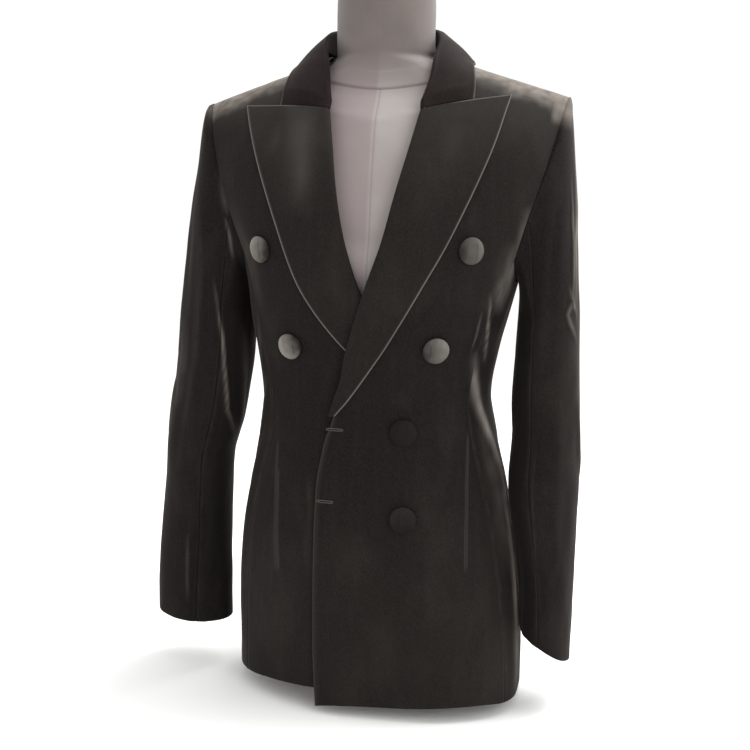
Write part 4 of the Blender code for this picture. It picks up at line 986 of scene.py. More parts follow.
def draft_sleeve(side, start):
    """Rows from the armhole to the cuff; the columns go right round."""
    grid = []
    turns = sleeve_turns(start, 0.0)
    ends = [sleeve_point(side, turn, CAP_FOOT) for turn in turns]
    for j in range(CAP_ROWS):
        arc = math.radians(90.0 * j / CAP_ROWS)
        go, left = math.sin(arc), math.cos(arc)
        low, top = HEAD_FULLNESS[side]
        fullness = low + top * left ** 6
        spread = fullness * go + (1 - fullness) * (1 - left)
        grid.append([[b[0] + (e[0] - b[0]) * spread, b[1] + (e[1] - b[1]) * go, e[2] + (b[2] - e[2]) * left]
                     for b, e in zip(start, ends)])
    for j in range(TUBE_ROWS + 1):
        tube = j / TUBE_ROWS
        row = []
        for turn in sleeve_turns(start, tube):
            outer = 0.5 + 0.5 * math.cos(math.radians(turn))
            foot = CUFF[side]["inner"] + (CUFF[side]["outer"] - CUFF[side]["inner"]) * outer ** CUFF_POWER
            row.append(sleeve_point(side, turn, CAP_FOOT + (foot - CAP_FOOT) * tube))
        grid.append(row)
    return np.array(grid)


rings = {side: armhole_ring(side) for side in SIDES}
for side, ring in rings.items():
    print("the", side, "armhole is", round(float(lengths(np.concatenate([ring, ring[:1]]))[-1]), 3), "m round")

# %% Folds of the sleeves
SLEEVE_DEGREE = 0.0009               # metres round the sleeve for each degree
SLEEVE_FOLDS = {
    "right": (
        (((104, 0.476), (110, 0.447), (116, 0.413), (122, 0.373), (136, 0.319), (165, 0.278)),
         0.0046, 0.0024, 0.44),
        (((121, 0.540), (127, 0.520), (132, 0.492)), 0.0036, 0.0012, 0.30),
        (((116, 0.600), (121, 0.565), (124, 0.540)), 0.0110, 0.0010, 0.14),
        (((53, 0.425), (56, 0.376), (54, 0.320)), 0.0120, 0.0024, 0.09),
        (((80, 0.560), (84, 0.480), (78, 0.400), (72, 0.300)), 0.0100, 0.0022, 0.04),
        (((60, 0.420), (64, 0.330), (66, 0.240)), 0.0110, -0.0022, 0.0),
        (((92, 0.170), (92, 0.142), (94, 0.080)), 0.0045, 0.0012, 0.12),
        (((40, 0.600), (30, 0.500), (24, 0.380)), 0.0130, 0.0026, 0.05),
        (((150, 0.420), (160, 0.350), (172, 0.290)), 0.0070, 0.0024, 0.20),
        (((110, 0.260), (118, 0.200), (112, 0.120)), 0.0120, -0.0020, 0.0),
        (((18, 0.350), (4, 0.290), (-14, 0.262)), 0.0110, 0.0020, 0.04),
        (((322, 0.600), (312, 0.460), (302, 0.320)), 0.0150, 0.0030, 0.06),
        (((282, 0.500), (270, 0.380), (260, 0.280)), 0.0120, 0.0026, 0.08),
        (((300, 0.240), (296, 0.170), (300, 0.080)), 0.0120, -0.0020, 0.0),
        (((226, 0.370), (245, 0.320), (268, 0.300)), 0.0100, 0.0022, 0.08),
    ),
    "left": (
        (((14, 0.680), (12, 0.630), (16, 0.587), (23, 0.544), (27, 0.501), (30, 0.440)),
         0.0120, 0.0010, 0.48),
        (((44, 0.595), (40, 0.566), (37, 0.523), (39, 0.485), (44, 0.445)), 0.0042, 0.0016, 0.46),
        (((50, 0.474), (41, 0.456), (24, 0.438)), 0.0042, 0.0018, 0.44),
        (((38, 0.462), (53, 0.444), (47, 0.433), (29, 0.412)), 0.0050, 0.0020, 0.38),
        (((104, 0.300), (106, 0.240), (108, 0.170), (110, 0.090)), 0.0045, 0.0014, 0.06),
        (((80, 0.580), (86, 0.480), (82, 0.380)), 0.0120, -0.0022, 0.0),
        (((66, 0.360), (60, 0.270), (64, 0.150)), 0.0130, 0.0018, 0.02),
        (((24, 0.350), (10, 0.290), (-8, 0.262)), 0.0110, 0.0020, 0.04),
        (((320, 0.600), (308, 0.470), (298, 0.330)), 0.0150, 0.0028, 0.06),
        (((288, 0.480), (274, 0.370), (264, 0.270)), 0.0120, 0.0024, 0.08),
        (((330, 0.280), (322, 0.180), (326, 0.070)), 0.0140, 0.0022, 0.03),
        (((150, 0.440), (158, 0.370), (168, 0.310)), 0.0080, 0.0020, 0.20),
        (((180, 0.235), (180, 0.150), (180, 0.055)), 0.0200, 0.0022, 0.0),
        (((232, 0.360), (250, 0.312), (272, 0.290)), 0.0100, 0.0022, 0.08),
    ),
}


def sleeve_angle(side, grid):
    """Where each point comes round its sleeve, 0 on the outer side and 90 in front."""
    turn = np.zeros(grid.shape[:2])
    for j, line in enumerate(grid):
        for i, point in enumerate(line):
            x, y, half_x, half_y = [read(SLEEVE[side], name, point[2])
                                    for name in ("middle_x", "middle_y", "half_x", "half_y")]
            ahead, aside = (y - point[1]) / half_y, (SIDES[side] * point[0] - x) / half_x
            turn[j, i] = math.degrees(math.atan2(ahead, aside)) % 360
    return turn


print("sleeve folds:", {side: len(rows) for side, rows in SLEEVE_FOLDS.items()})

# %% Make the sleeves
def closed_columns(grid, count):
    """The same tube with more columns, by a spline that goes right round."""
    wide = np.concatenate([grid[:, -2:], grid, grid[:, :3]], axis=1)
    at = 2 + np.linspace(0.0, grid.shape[1], count + 1)[:-1]
    return np.swapaxes(spline(np.swapaxes(wide, 0, 1), at), 0, 1)


HEAD_LEVEL = {"left": 0.48, "right": 0.26}    # painted highlight on the sleeve's head
COLUMNS_EACH = 4                     # columns of the tube for each point of the armhole
TURNED_IN = 0.0030                   # metres that the hidden seam allowance reaches into the armhole


def sleeve_tube(side):
    """The fine tube of a sleeve with its hidden seam allowance, and the turn of each armhole point."""
    outward = np.array([SIDES[side], 0.0, 0.0])
    ring = rings[side]
    under = 1.0 - ramp(ring[:, 2], ARMHOLE_LEVEL, ARMHOLE_LEVEL + 0.03)
    start = ring + outward * (SEAM_GAP * 1.2 + UNDERARM_GAP * under[:, None] + 0.0004)
    inward = ring.mean(axis=0) - ring
    hidden = [ring - outward * TURNED_IN + inward * share for share in (0.085, 0.028)]
    turns = np.array(sleeve_turns(start, 0.0))
    draft = np.concatenate([hidden, draft_sleeve(side, start)])
    return closed_columns(draft, len(turns) * COLUMNS_EACH), turns


def press_sleeve(side, grid, seed):
    """Folds, puckers, the eased head and the painted highlights of one piece of a sleeve."""
    turn, z = sleeve_angle(side, grid), grid[..., 2]
    rise, painted_sheen_and_seam = folds_at(turn, z, SLEEVE_FOLDS[side], SLEEVE_DEGREE)
    wrapped, wrapped_highlight = folds_at(turn - 360.0, z, SLEEVE_FOLDS[side], SLEEVE_DEGREE)
    calm = ramp(np.arange(len(grid)), 16, 38)[:, None]
    rise = (rise + wrapped) * calm
    rise += 0.0016 * calm * unevenness(grid, (0.035, 0.035, 0.110), seed)
    rise += 0.0006 * calm * unevenness(grid, (0.018, 0.018, 0.034), seed + 1)
    ripple = unevenness(grid, (0.030, 0.030, 0.012), seed + 2)
    rise, painted_sheen_and_seam = sew(rise, np.maximum(painted_sheen_and_seam, wrapped_highlight), edge_distance(grid), ripple, 0.0005 * calm, 0.03)
    painted_sheen_and_seam *= 0.85 + 0.5 * unevenness(grid, (0.010, 0.010, 0.020), seed + 4)
    # A painted highlight on the sleeve's head, where the light from above grazes it.
    painted_shine = ramp(z + 0.008 * unevenness(grid, (0.016, 0.016, 0.016), seed + 5), 0.638, 0.663)
    painted_sheen_and_seam = np.maximum(painted_sheen_and_seam, HEAD_LEVEL[side] * painted_shine * (0.9 + 0.4 * ripple))
    down = np.array([lengths(grid[:, i]) for i in range(grid.shape[1])]).T
    eased = 0.6 + 0.8 * unevenness(grid, (0.010, 0.010, 0.010), seed + 3)
    rise += 0.0012 * stripe(down, 0.016, 0.007) * ramp(z, 0.60, 0.66) * eased
    return rise, painted_sheen_and_seam


for side in SIDES:
    tube, turns = sleeve_tube(side)
    front, rear = (int(np.argmin(np.abs(turns - turn))) for turn in (FRONT_SEAM_TURN, BACK_SEAM_TURN))
    for part, first, last, columns in (("sleeve_top", rear, front + len(turns), 96),
                                       ("sleeve_under", front, rear, 34)):
        picked = [k % tube.shape[1] for k in range(first * COLUMNS_EACH, last * COLUMNS_EACH + 1)]
        grid = refine(tube[:, picked], 190, columns)
        rise, painted_sheen_and_seam = press_sleeve(side, grid, (20 if side == "left" else 30) + columns)
        normals = grid_normals(grid)
        middle = 120, columns // 2
        centre = np.array([SIDES[side] * 0.195, 0.0, grid[middle][2]])
        if np.dot(normals[middle], grid[middle] - centre) < 0:
            normals = -normals
        made[part, side] = shell(f"velvet_{part}_{side}", grid + normals * rise[..., None],
                                 ("seam", "fold", "seam", "seam"),
                                 normals[len(grid) // 2, grid.shape[1] // 2], painted_sheen_and_seam)
        made[part, side]["flat"] = flat_size(grid)
print("made the sleeves;", len(made), "pieces so far")

# %% [markdown]
# ## Lapels and collar
# The lapel is the front's own facing, folded back along the roll line and steamed so that it lies
# flat. Its edge is turned, so it is rounded and a little thicker, and a thin pale line along it is a
# painted highlight, standing in for the light that the pile there catches. The collar has a stand
# that goes up the neck and a leaf that falls over it; the gorge is the seam where the two meet.

# %% Draft lapels and collar
def gorge_up(side):
    return unit(front_point(side, 0.075, 0.667) - front_point(side, 0.075, 0.661))


def draft_lapel(side, rows=28, leaf_columns=12):
    spread = (0.0012, 0.0, 0.0, 0.0007, 0.0028, 0.0090)
    reach = LAPEL[side]
    grid = np.zeros((rows, len(spread) + leaf_columns, 3))
    for j in range(rows):
        step = j / (rows - 1)
        roll_z, edge_z, edge_x, rise = [read(reach, name, step, by="step")
                                        for name in ("roll_height", "edge_height", "edge_across", "rise")]
        roll_x = read(FRONT_EDGE[side], "across", roll_z)
        width = edge_x - roll_x
        heights = (-0.0030, -0.0010, rise * 0.5, rise * 0.75, rise * 0.95, rise)
        limits = (0.08, 0.0, 0.0, 0.05, 0.2, 0.3)
        shares = [min(away / width, limit) for away, limit in zip(spread, limits)]
        start = shares[-1]
        shares += [start + (1 - start) * (k + 1) / leaf_columns for k in range(leaf_columns)]
        for i, share in enumerate(shares):
            x = roll_x + width * share
            z = roll_z + (edge_z - roll_z) * share + LAPEL_CROWN * step ** 6 * math.sin(math.pi * share)
            off = heights[i] if i < len(heights) else rise + (LAPEL_EDGE_RISE - rise) * (share - start) / (1 - start)
            grid[j, i] = raised(side, x, z, off + lap_lift(side, x, z))
    grid[-1] -= gorge_up(side) * GORGE_GAP / 2
    return grid


def lifted_clear(side, point, rise):
    """The point, moved off the shoulder until it clears it by rise."""
    across = SIDES[side] * point[0]
    near, far = 0.0, 180.0
    for _ in range(18):
        turn = (near + far) / 2
        near, far = (turn, far) if chest_point(side, across, turn)[1] < point[1] else (near, turn)
    foot = chest_point(side, across, turn)
    normal = unit(over_shoulder(side, across, turn, 1.0) - foot)
    return point + normal * max(rise - np.dot(point - foot, normal), 0.0)


def gorge_point(side, across, rise):
    reach = LAPEL[side]
    roll = read(FRONT_EDGE[side], "across", reach["roll_height"][-1])
    share = (across - roll) / (reach["edge_across"][-1] - roll)
    low, high = reach["roll_height"][-1], reach["edge_height"][-1]
    return raised(side, across, low + (high - low) * share + LAPEL_CROWN * math.sin(math.pi * share), rise)


def collar_end(side):
    roll = read(FRONT_EDGE[side], "across", LAPEL[side]["roll_height"][-1])
    edge = COLLAR["edge_across"][-1] + COLLAR_REACH[side][1]
    rise = LAPEL[side]["rise"][-1]
    spread = ((0.0, -0.0020), (0.0, -0.0005), (0.0, 0.0010), (0.0006, 0.0026), (0.0022, rise),
              (0.0060, rise + 0.0004))
    away = gorge_up(side) * GORGE_GAP / 2
    points = [gorge_point(side, roll + across, off) + away for across, off in spread]
    start = roll + spread[-1][0]
    for share in np.linspace(0.0, 1.0, 9)[1:]:
        off = LAPEL_EDGE_RISE + 0.0008 * (1 - share)
        points.append(gorge_point(side, start + (edge - start) * share, off) + away)
    return points


def collar_section(side, step):
    """One section: up the stand, over the crest and down the leaf to its edge."""
    names = ("crest_x", "crest_y", "crest_z", "stand", "edge_across", "edge_turn")
    x, y, z, stand, across, turn = [read(COLLAR, name, step, by="step") for name in names]
    crest = np.array([SIDES[side] * x + COLLAR_SHIFT * (1.0 - ramp(step, 0.35, 0.75)), y, z])
    middle_reach, end_reach = COLLAR_REACH[side]
    across += middle_reach * ramp(step, 0.15, 0.45) + (end_reach - middle_reach) * ramp(step, 0.55, 1.0)
    edge = over_shoulder(side, across, turn, LAPEL_EDGE_RISE)
    upward = 1.0 - ramp(step, 0.45, 1.0)
    lean = front_normal(side, x, min(z, 0.68))
    high = unit(lean * (1 - upward) + np.array([0.0, 0.0, 1.0]) * upward)
    out = edge - crest
    out = unit(out - high * np.dot(out, high))
    middle = crest - high * CREST_RADIUS
    points = [middle - out * CREST_RADIUS - high * stand * down for down in (1.0, 0.45, 0.0)]
    for degrees, clear in ((45.0, -1.0), (90.0, 0.0043), (140.0, 0.0043)):
        arc = math.radians(degrees)
        point = middle + (high * math.sin(arc) - out * math.cos(arc)) * CREST_RADIUS
        points.append(lifted_clear(side, point, clear))
    start = points[-1]
    swell = unit(np.cross(np.cross(edge - start, high), edge - start))
    swell = -swell if np.dot(swell, high) < 0 else swell
    for share in np.linspace(0.0, 1.0, 9)[1:]:
        point = start + (edge - start) * share + swell * COLLAR_BOW * math.sin(math.pi * share)
        points.append(lifted_clear(side, point, LAPEL_EDGE_RISE + 0.0008 * (1 - share)))
    return points


def draft_collar(half_rows=22):
    halves = {side: [collar_section(side, j / half_rows) for j in range(half_rows)] + [collar_end(side)]
              for side in SIDES}
    return np.array(halves["right"][:0:-1] + halves["left"])


lapel_drafts = {side: draft_lapel(side) for side in SIDES}
collar_draft = draft_collar()
print("lapel drafts", lapel_drafts["left"].shape, "collar draft", collar_draft.shape)

# %% Make lapels and collar
LAPEL_MARKS = {                      # soft dents and painted light patches: across, height, width, rise, painted highlight
    "right": ((((0.083, 0.657), (0.088, 0.628)), 0.0036, -0.0010, 0.0),
              (((0.0795, 0.657), (0.084, 0.626)), 0.0040, 0.0006, 0.12),
              (((0.086, 0.700), (0.077, 0.630), (0.070, 0.540)), 0.0320, 0.0010, 0.11),
              (((0.100, 0.645), (0.112, 0.600)), 0.0150, -0.0008, 0.03)),
    "left": ((((0.085, 0.640), (0.080, 0.600)), 0.0250, 0.0008, 0.03),
             (((0.070, 0.560), (0.062, 0.500), (0.040, 0.450)), 0.0120, -0.0008, 0.0)),
}
EDGE_SWELL, EDGE_LINE = 0.0005, 0.0008   # height of a turned edge; metres from it to its painted highlight line
LAPEL_EDGE = {"left": (0.42, 0.0009), "right": (0.52, 0.0013)}   # strength and width of the painted highlight line
for side in SIDES:
    grid = refine(lapel_drafts[side], 150, 44)
    x, z = SIDES[side] * grid[..., 0], grid[..., 2]
    rise, painted_sheen_and_seam = folds_at(x, z, LAPEL_MARKS[side], 1.0)
    painted_sheen_and_seam *= 0.95 + 0.5 * unevenness(grid, (0.018, 0.018, 0.045), 53)
    # Painted highlight: the lapel is painted paler towards its top, where the light from above grazes it.
    painted_sheen_and_seam += 0.012 + 0.030 * ramp(z, 0.53, 0.67)
    rise += 0.0004 * unevenness(grid, (0.030, 0.030, 0.050), 51 if side == "left" else 57)
    first, last = edge_distance(grid)
    rise = (rise + EDGE_SWELL * stripe(last, 0.0035, 0.0022)) * ramp(first, 0.004, 0.015)
    edge_highlight, edge_width = LAPEL_EDGE[side]
    # A painted highlight line along the lapel's edge.
    painted_sheen_and_seam = np.maximum(painted_sheen_and_seam, edge_highlight * stripe(last, EDGE_LINE, edge_width))
    down = np.array([lengths(grid[:, i]) for i in range(grid.shape[1])]).T
    top = down[-1:] - down
    # A painted highlight line along the top edge.
    painted_sheen_and_seam = np.maximum(painted_sheen_and_seam, 0.32 * stripe(top, EDGE_LINE, 0.0011) * ramp(first, 0.03, 0.06))
    normals = grid_normals(grid)
    if normals[100, 30][1] > 0:
        normals = -normals
    made["lapel", side] = shell(f"velvet_lapel_{side}", grid + normals * rise[..., None], ("fold",) * 4,
                                (0.0, -1.0, 0.0), painted_sheen_and_seam)
    made["lapel", side]["flat"] = flat_size(grid, 1)

grid = refine(collar_draft, 190, 46)
first, last = edge_distance(grid)
rise = 0.0006 * unevenness(grid, (0.025, 0.025, 0.030), 61)
rise = (rise + EDGE_SWELL * stripe(last, 0.0035, 0.0022)) * ramp(first, 0.010, 0.030)
normals = grid_normals(grid)
if normals[len(grid) // 2, 30][1] < 0:
    normals = -normals
# The collar's value is a painted highlight line along its edge.
made["collar", ""] = shell("velvet_collar", grid + normals * rise[..., None], ("fold",) * 4,
                           (0.0, 1.0, 0.3), 0.26 * stripe(last, EDGE_LINE, 0.0011))
made["collar", ""]["flat"] = flat_size(grid)
print("made lapels and collar;", len(made), "cloth pieces")

# %% [markdown]
# ## Covered buttons
# A covered button is a metal dome with a round of cloth pulled over it and gathered behind, so it
# has a smooth crown and tiny pleats at the rim. The four upper ones are a paler grey; the two lower
# ones are as dark as the cloth. On each, one side is painted lighter as a painted highlight, and a
# dark line across the crown is the painted shade of a crease.

# %% Make the buttons
BUTTON_WIDTH, BUTTON_HEIGHT = 0.0285, 0.0075
BUTTONS = (                          # side, across, height, gap; painted highlight: towards, level; where a painted crease shade lies
    ("right", 0.1190, 0.507, 0.0006, 160, 0.80, 0.35), ("right", 0.0850, 0.404, 0.0007, 200, 0.90, 0.60),
    ("left", 0.1050, 0.512, 0.0010, 10, 0.30, 0.30), ("left", 0.0700, 0.409, 0.0008, 20, 0.48, -0.50),
    ("left", 0.0395, 0.316, 0.0010, 70, 0.05, 0.20), ("left", 0.0430, 0.222, 0.0006, 110, 0.14, -0.30))


def button_frame(side, across, z, gap):
    """The place a button is sewn: its middle, and the directions across, up and out of the cloth."""
    reach = 0.35 * BUTTON_WIDTH
    aside = lap_point(side, across + reach, z) - lap_point(side, across - reach, z)
    above = lap_point(side, across, z + reach) - lap_point(side, across, z - reach)
    out = unit(np.cross(aside, above)) * SIDES[side]
    flat = unit(np.cross((0.0, 0.0, 1.0), out))
    return lap_point(side, across, z) + out * gap, flat, np.cross(out, flat), out


PLEATS, PLEAT_DEPTH, LUMP = 24, 0.00012, 0.00025


def tube_faces(rings, around, closed=False):
    """Faces between rings of points; closed joins the last ring to the first."""
    return [(k * around + s, (k + 1) % rings * around + s, (k + 1) % rings * around + (s + 1) % around,
             k * around + (s + 1) % around)
            for k in range(rings if closed else rings - 1) for s in range(around)]


def covered_button(number, side, across, z, gap, toward, level, crease_shade_at):
    radius = BUTTON_WIDTH / 2
    seat, flat, high, out = button_frame(side, across, z, gap)
    rings, steps = 26, 72
    profile = []                     # shares of the radius and of the height
    for k in range(rings + 1):
        arc = math.radians(90.0 * k / rings)
        profile.append((math.sin(arc) ** 0.9, 0.42 + 0.58 * math.cos(arc) ** 1.2))
    profile += [(0.995, 0.30), (0.97, 0.15), (0.93, 0.0), (0.5, 0.0), (0.0, 0.0)]
    points, values = [], []
    for k, (share, rise) in enumerate(profile):
        away, height = radius * share, BUTTON_HEIGHT * rise
        for s in range(steps):
            turn = 2 * math.pi * s / steps
            pleat = PLEAT_DEPTH * math.sin(PLEATS * turn + number) * ramp(share, 0.75, 1.0) * (k <= rings + 2)
            spot = Vector((away * math.cos(turn), away * math.sin(turn), number * 0.01)) * 160
            lump = LUMP * noise.noise(spot)
            place_at = seat + (flat * math.cos(turn) + high * math.sin(turn)) * (away + pleat)
            points.append(place_at + out * max(height + lump * (height > 0), 0.0) + SHIFT)
            # Painted highlight on the side that faces toward, painted shade along a crease, and lumps painted a
            # little paler.
            lean = math.cos(turn - math.radians(toward)) * share
            crease_shade = stripe(math.cos(turn) * share, crease_shade_at, 0.06) * ramp(1 - share, 0.1, 0.5)
            values.append(level * ((0.55 + 0.55 * lean) * (1 - 0.6 * crease_shade) + 0.15 * lump / LUMP))
    return add_piece(f"covered_button_{number}", points, tube_faces(len(profile), steps), values, join=True)


buttons = [covered_button(number, *row) for number, row in enumerate(BUTTONS, start=1)]
for number, piece in enumerate(buttons, start=1):
    piece.data.materials.append(button_velvet if number <= 4 else dark_button_velvet)
    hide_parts(f"button_{number}")
print("made", len(buttons), "buttons")

# %% [markdown]
# ## Buttonholes
# The lapping front has worked buttonholes near its edge: a short slit bound with silk thread. The
# thread is raised a little and slightly glossy. Each is a flattened ring of small stitches that
# follows the cloth.

# %% Make the buttonholes
def thread_material():
    thread, tree, shader = material("silk_thread")
    place_at = add(tree, "ShaderNodeTexCoord").outputs["Object"]
    strands = add(tree, "ShaderNodeTexWave", {"Vector": place_at, "Scale": 1 / (4 * MM)},
                  bands_direction="X").outputs["Fac"]
    colour = add(tree, "ShaderNodeMix", {"Factor": strands, 6: linear("#2A2523"), 7: linear("#4B4541")},
                 data_type="RGBA")
    tree.links.new(colour.outputs[2], shader.inputs["Base Color"])
    shader.inputs["Roughness"].default_value = 0.45
    return thread


HOLES = ((-0.0330, 0.316, 0.018), (-0.0420, 0.237, 0.018))   # middle across, height, length
silk = thread_material()


def buttonhole(number, across, z, length):
    """A racetrack of thread round a slit, on the lapping front."""
    loops, around, width = 120, 8, 0.0011
    line = []
    for k in range(loops):
        t = 2 * math.pi * k / loops
        x = across + signed_power(math.cos(t), 0.45) * length / 2
        y = z + signed_power(math.sin(t), 0.7) * width
        lift = lap_lift("left", x, y) + 0.0004 + 0.00012 * math.sin(k * math.pi / 2)
        line.append(raised("left", x, y, lift))
    line = np.array(line)
    ahead = np.roll(line, -1, axis=0) - np.roll(line, 1, axis=0)
    out = front_normal("left", across, z)
    points = []
    for k in range(loops):
        aside = unit(np.cross(ahead[k], out))
        for s in range(around):
            turn = 2 * math.pi * s / around
            thick = 0.00055 + 0.00010 * math.sin(k * math.pi / 1.5)
            points.append(line[k] + (aside * math.cos(turn) + out * math.sin(turn)) * thick + SHIFT)
    piece = add_piece(f"buttonhole_{number}", points, tube_faces(loops, around, closed=True), join=True)
    piece.data.materials.append(silk)
    return piece


holes = [buttonhole(number, *row) for number, row in enumerate(HOLES, start=1)]
print("made", len(holes), "buttonholes")

# %% [markdown]
# ## The dress form
# The form is papier-mache under a tight knitted cover, sewn from gores with a seam down the centre
# front and one round the base of the neck. It stands a few millimetres inside the cloth all round,
# and its shoulders carry the blazer. Beside the armholes it is drawn a little narrower than the plain
# solid, so that its pale cover never shows through a seam.

# %% Draft the form
FORM_HEIGHTS = (0.0, 0.024, 0.030, 0.036, 0.042, 0.050, 0.060, 0.085, 0.12, 0.16, 0.20, 0.24, 0.28,
                0.315, 0.345, 0.375, 0.405, 0.435, 0.465, 0.50, 0.52, 0.535, 0.55, 0.57, 0.59, 0.605, 0.62,
                0.635, 0.645, 0.652, 0.658, 0.664, 0.669, 0.674, 0.679, 0.683, 0.687, 0.691, 0.695, 0.698,
                0.701, 0.704, 0.707, 0.710)
FORM_SEGMENTS = 10


def ridge_across(side, z):
    """How far across the shoulder line still reaches this height."""
    near, far = 0.0, 0.24
    for _ in range(30):
        middle = (near + far) / 2
        high = shoulder_height(side, middle) - 0.3 * max(middle - 0.2, 0.0)
        near, far = (middle, far) if high > z else (near, middle)
    return near


def form_point(side, part, z, behind):
    centre, half, front, back_depth = body_size(z)
    turn = math.radians(84.0 * part)
    if z <= ARMHOLE_LEVEL:
        ease, share = read(EASE, "ease", z), read(BASE, "share", z)
        across = (half - ease - 0.009 * ramp(z, 0.43, 0.50)) * share * math.sin(turn) ** (2 / SECTION_POWER)
        out = ((back_depth if behind else front) - ease) * share * math.cos(turn) ** (2 / SECTION_POWER)
        return [SIDES[side] * across + centre, out if behind else -out, z]
    reach = (z - ARMHOLE_LEVEL) / (SHOULDER_LINE[side][-1] - ARMHOLE_LEVEL)
    plate = read(ARMHOLE, "front_across", min(reach, 1.0), by="rise") - ARM_PLATE_INSET
    limit = min(plate, ridge_across(side, z + RIDGE_EASE))
    across = limit * math.sin(turn) ** (2 / SECTION_POWER)
    ridge = -1.0 if behind else 1.0
    if part == 1 and limit < plate:
        return [SIDES[side] * limit, RIDGE_DEPTH - ridge * 0.0015, z]
    near, far = 0.0, 90.0
    for _ in range(16):
        middle = (near + far) / 2
        ease = read(SHOULDER_EASE, "ease", middle, by="turn") + NECK_EASE * (1 - ramp(across, 0.07, 0.13))
        point = over_shoulder(side, across, 90.0 - ridge * (90.0 - middle), -ease)
        near, far = (middle, far) if point[2] < z else (near, middle)
    y = point[1]
    if not behind and z > FORM_FRONT["height"][0]:
        y = max(y, -read(FORM_FRONT, "front", z) * math.sqrt(1 - (0.98 * across / limit) ** 2))
    return [SIDES[side] * across, y, z]


def bridged(front, rear):
    """Points of one half, with some straight across from its last front point to its first rear one."""
    ends = np.array(front[-1]), np.array(rear[0])
    return front + [list(ends[0] + (ends[1] - ends[0]) * share) for share in (0.2, 0.4, 0.6, 0.8)] + rear


def form_ring(z):
    """One ring of the form, from the centre front round the wearer's left."""
    if z >= NECK["height"][0]:
        radius, shift, y = [read(NECK, name, z) for name in ("radius", "middle_x", "middle_y")]
        turns = [84.0 * k / FORM_SEGMENTS for k in range(FORM_SEGMENTS + 1)]
        behind = [180.0 - turn for turn in reversed(turns)]
        turns += [84.0 + 12.0 * share for share in (0.2, 0.4, 0.6, 0.8)] + behind
        half = [[radius * math.sin(math.radians(t)), y - radius * math.cos(math.radians(t)), z] for t in turns]
        return [[x + shift, y, z] for x, y, z in half + [[-x, y, z] for x, y, z in half[-2:0:-1]]]
    ring = []
    for side in ("left", "right"):
        half = [form_point(side, k / FORM_SEGMENTS, z, False) for k in range(FORM_SEGMENTS + 1)]
        half = bridged(half, [form_point(side, k / FORM_SEGMENTS, z, True) for k in range(FORM_SEGMENTS, -1, -1)])
        ring += half if side == "left" else half[-2:0:-1]
    return ring


neck_levels = (0.716, 0.722, 0.735, 0.750, 0.765, 0.778, 0.784, 0.788, 0.790)
form_draft = np.array([form_ring(z) for z in FORM_HEIGHTS + neck_levels])
print("form draft", form_draft.shape)

# %% Make the form
def form_piece(draft):
    """A closed smooth body with grooves at its seams."""
    levels = [np.linspace(0, 0.64, 110), np.linspace(0.641, 0.70, 62), np.linspace(0.703, 0.79, 34)]
    rows_at = np.interp(np.concatenate(levels), draft[:, 0, 2], np.arange(len(draft)))
    tall = spline(draft, rows_at)
    count = draft.shape[1]
    near = np.array([0.0, 0.03, 0.07, 0.15])
    at = np.concatenate([near, np.linspace(0.3, count - 0.3, count * 4), count - near[:0:-1]])
    wide = np.concatenate([tall[:, -2:], tall, tall[:, :3]], axis=1)
    fine = np.swapaxes(spline(np.swapaxes(wide, 0, 1), at + 2), 0, 1)
    normals = np.cross(np.roll(fine, -1, axis=1) - np.roll(fine, 1, axis=1), np.gradient(fine, axis=0))
    normals /= np.maximum(np.linalg.norm(normals, axis=2, keepdims=True), 1e-12)
    if normals[60, 0][1] > 0:
        normals = -normals
    x, z = fine[..., 0], fine[..., 2]
    turn = np.degrees(np.arctan2(x + 0.003, -fine[..., 1]))
    seam_height = 0.679 + 0.010 * (np.clip(np.abs(turn), 0, 120) / 60) ** 2
    round_seam = stripe(z, seam_height, 0.0009)
    above = ramp(z, seam_height, seam_height + 0.002)
    line = np.minimum(np.arange(fine.shape[1]), fine.shape[1] - np.arange(fine.shape[1]))[None, :]
    front_seam = (line < 2) * (z < seam_height) * (z > 0.05) * np.where(line == 0, 1.0, 0.35)
    band = above * (1 - ramp(z, seam_height + 0.018, seam_height + 0.020))
    rise = -0.0007 * round_seam - 0.0005 * front_seam + 0.0009 * band
    fine = fine + normals * rise[..., None] * (z > 0.03)[..., None]
    points = fine.reshape(-1, 3) + SHIFT
    rows, columns = fine.shape[:2]
    number = np.arange(rows * columns).reshape(rows, columns)
    ahead = np.roll(number, -1, axis=1)
    quads = np.stack([number[:-1], ahead[:-1], ahead[1:], number[1:]], axis=-1).reshape(-1, 4)
    faces = quads.tolist() + [list(number[0, ::-1]), list(number[-1])]
    painted_sheen_and_seam = np.maximum(round_seam * 0.55, front_seam * 0.30)
    return add_piece("form_cover", points, faces, painted_sheen_and_seam, join=True)


form = form_piece(form_draft)
form.data.materials.append(form_jersey)
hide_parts("form_torso")
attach(form, "root")
print("form has", len(form.data.polygons), "faces")

# %% [markdown]
# ## Sheets
# Every cut piece's size is worked out and printed. Its width and length are measured
# along the smooth surface, before folds are pressed in, and its area is half of the finished shell's.

def surface_area(piece):
    """Half of a closed shell's area, which is the cloth's."""
    mesh = piece.data
    areas = np.zeros(len(mesh.polygons))
    mesh.polygons.foreach_get("area", areas)
    return float(areas.sum()) / 2


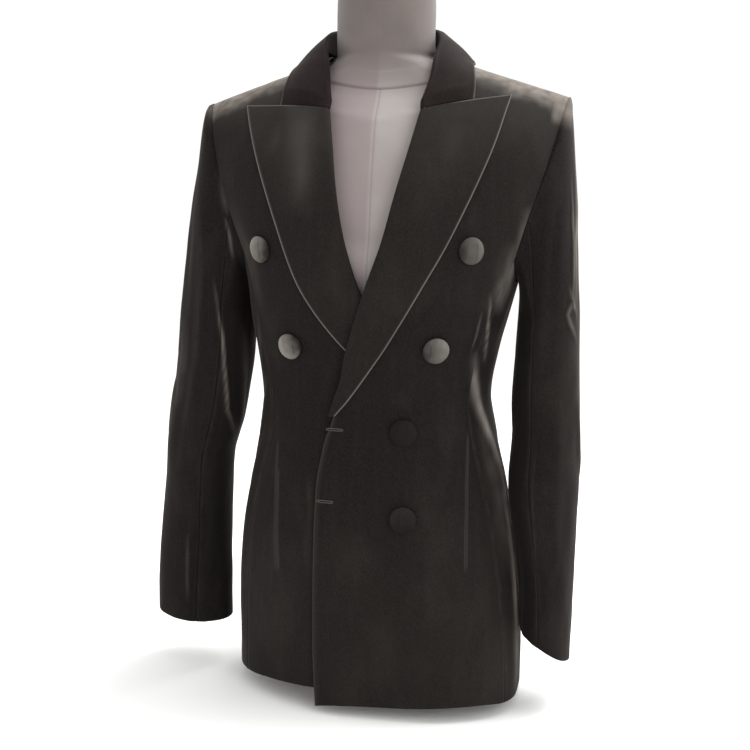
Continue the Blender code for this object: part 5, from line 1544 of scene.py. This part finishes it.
for (part, side), piece in made.items():
    piece.data.materials.append(collar_velvet if part == "collar" else blazer_velvet)
    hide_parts(f"{part}_{side}" if side else part)
    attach(piece, "root")
    width, length = piece["flat"]
    area = min(surface_area(piece), width * length)
    print(f"{piece.name}: {width:.3f} x {length:.3f} m, {area:.4f} square metres")
for piece in buttons + holes:
    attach(piece, "root")

# %% [markdown]
# ## Studio
# The photograph is a cut-out on white, lit by broad soft lights from above and in front. The velvet
# needs light from the sides to show its edges, so there are two tall side lights as well.

# %% Floor and lights
floor_mesh = bpy.data.meshes.new("floor")
floor_mesh.from_pydata([(-4, -4, 0), (4, -4, 0), (4, 4, 0), (-4, 4, 0)], [], [(0, 1, 2, 3)])
floor = bpy.data.objects.new("floor", floor_mesh)
bpy.context.scene.collection.objects.link(floor)
paper, _, paper_shader = material("white_paper")
paper_shader.inputs["Base Color"].default_value = linear("#FDFDFC")
paper_shader.inputs["Roughness"].default_value = 0.9
floor_mesh.materials.append(paper)

world = bpy.data.worlds.new("white_room")
world.use_nodes = True
world.node_tree.nodes["Background"].inputs["Color"].default_value = linear("#FFFFFF")
world.node_tree.nodes["Background"].inputs["Strength"].default_value = 1.03
bpy.context.scene.world = world
bpy.context.scene.view_settings.view_transform = "Standard"


def soft_light(name, place_at, aim, width, height, power):
    light = bpy.data.lights.new(name, "AREA")
    light.shape = "RECTANGLE"
    light.size, light.size_y, light.energy = width, height, power
    lamp = bpy.data.objects.new(name, light)
    bpy.context.scene.collection.objects.link(lamp)
    lamp.location = place_at
    lamp.rotation_euler = (Vector(aim) - Vector(place_at)).to_track_quat("-Z", "Y").to_euler()
    return lamp


soft_light("overhead", (0.7, 0.5, 1.9), (0.05, 0.0, 0.62), 1.5, 1.5, 44)
soft_light("front_right", (1.2, -1.7, 1.2), (0.02, 0.0, 0.45), 1.0, 1.4, 9)
soft_light("side_left", (-1.6, 0.3, 0.9), (0.0, 0.0, 0.4), 0.6, 1.6, 4)
soft_light("side_right", (1.7, 0.3, 0.9), (0.0, 0.0, 0.4), 0.6, 1.6, 5)
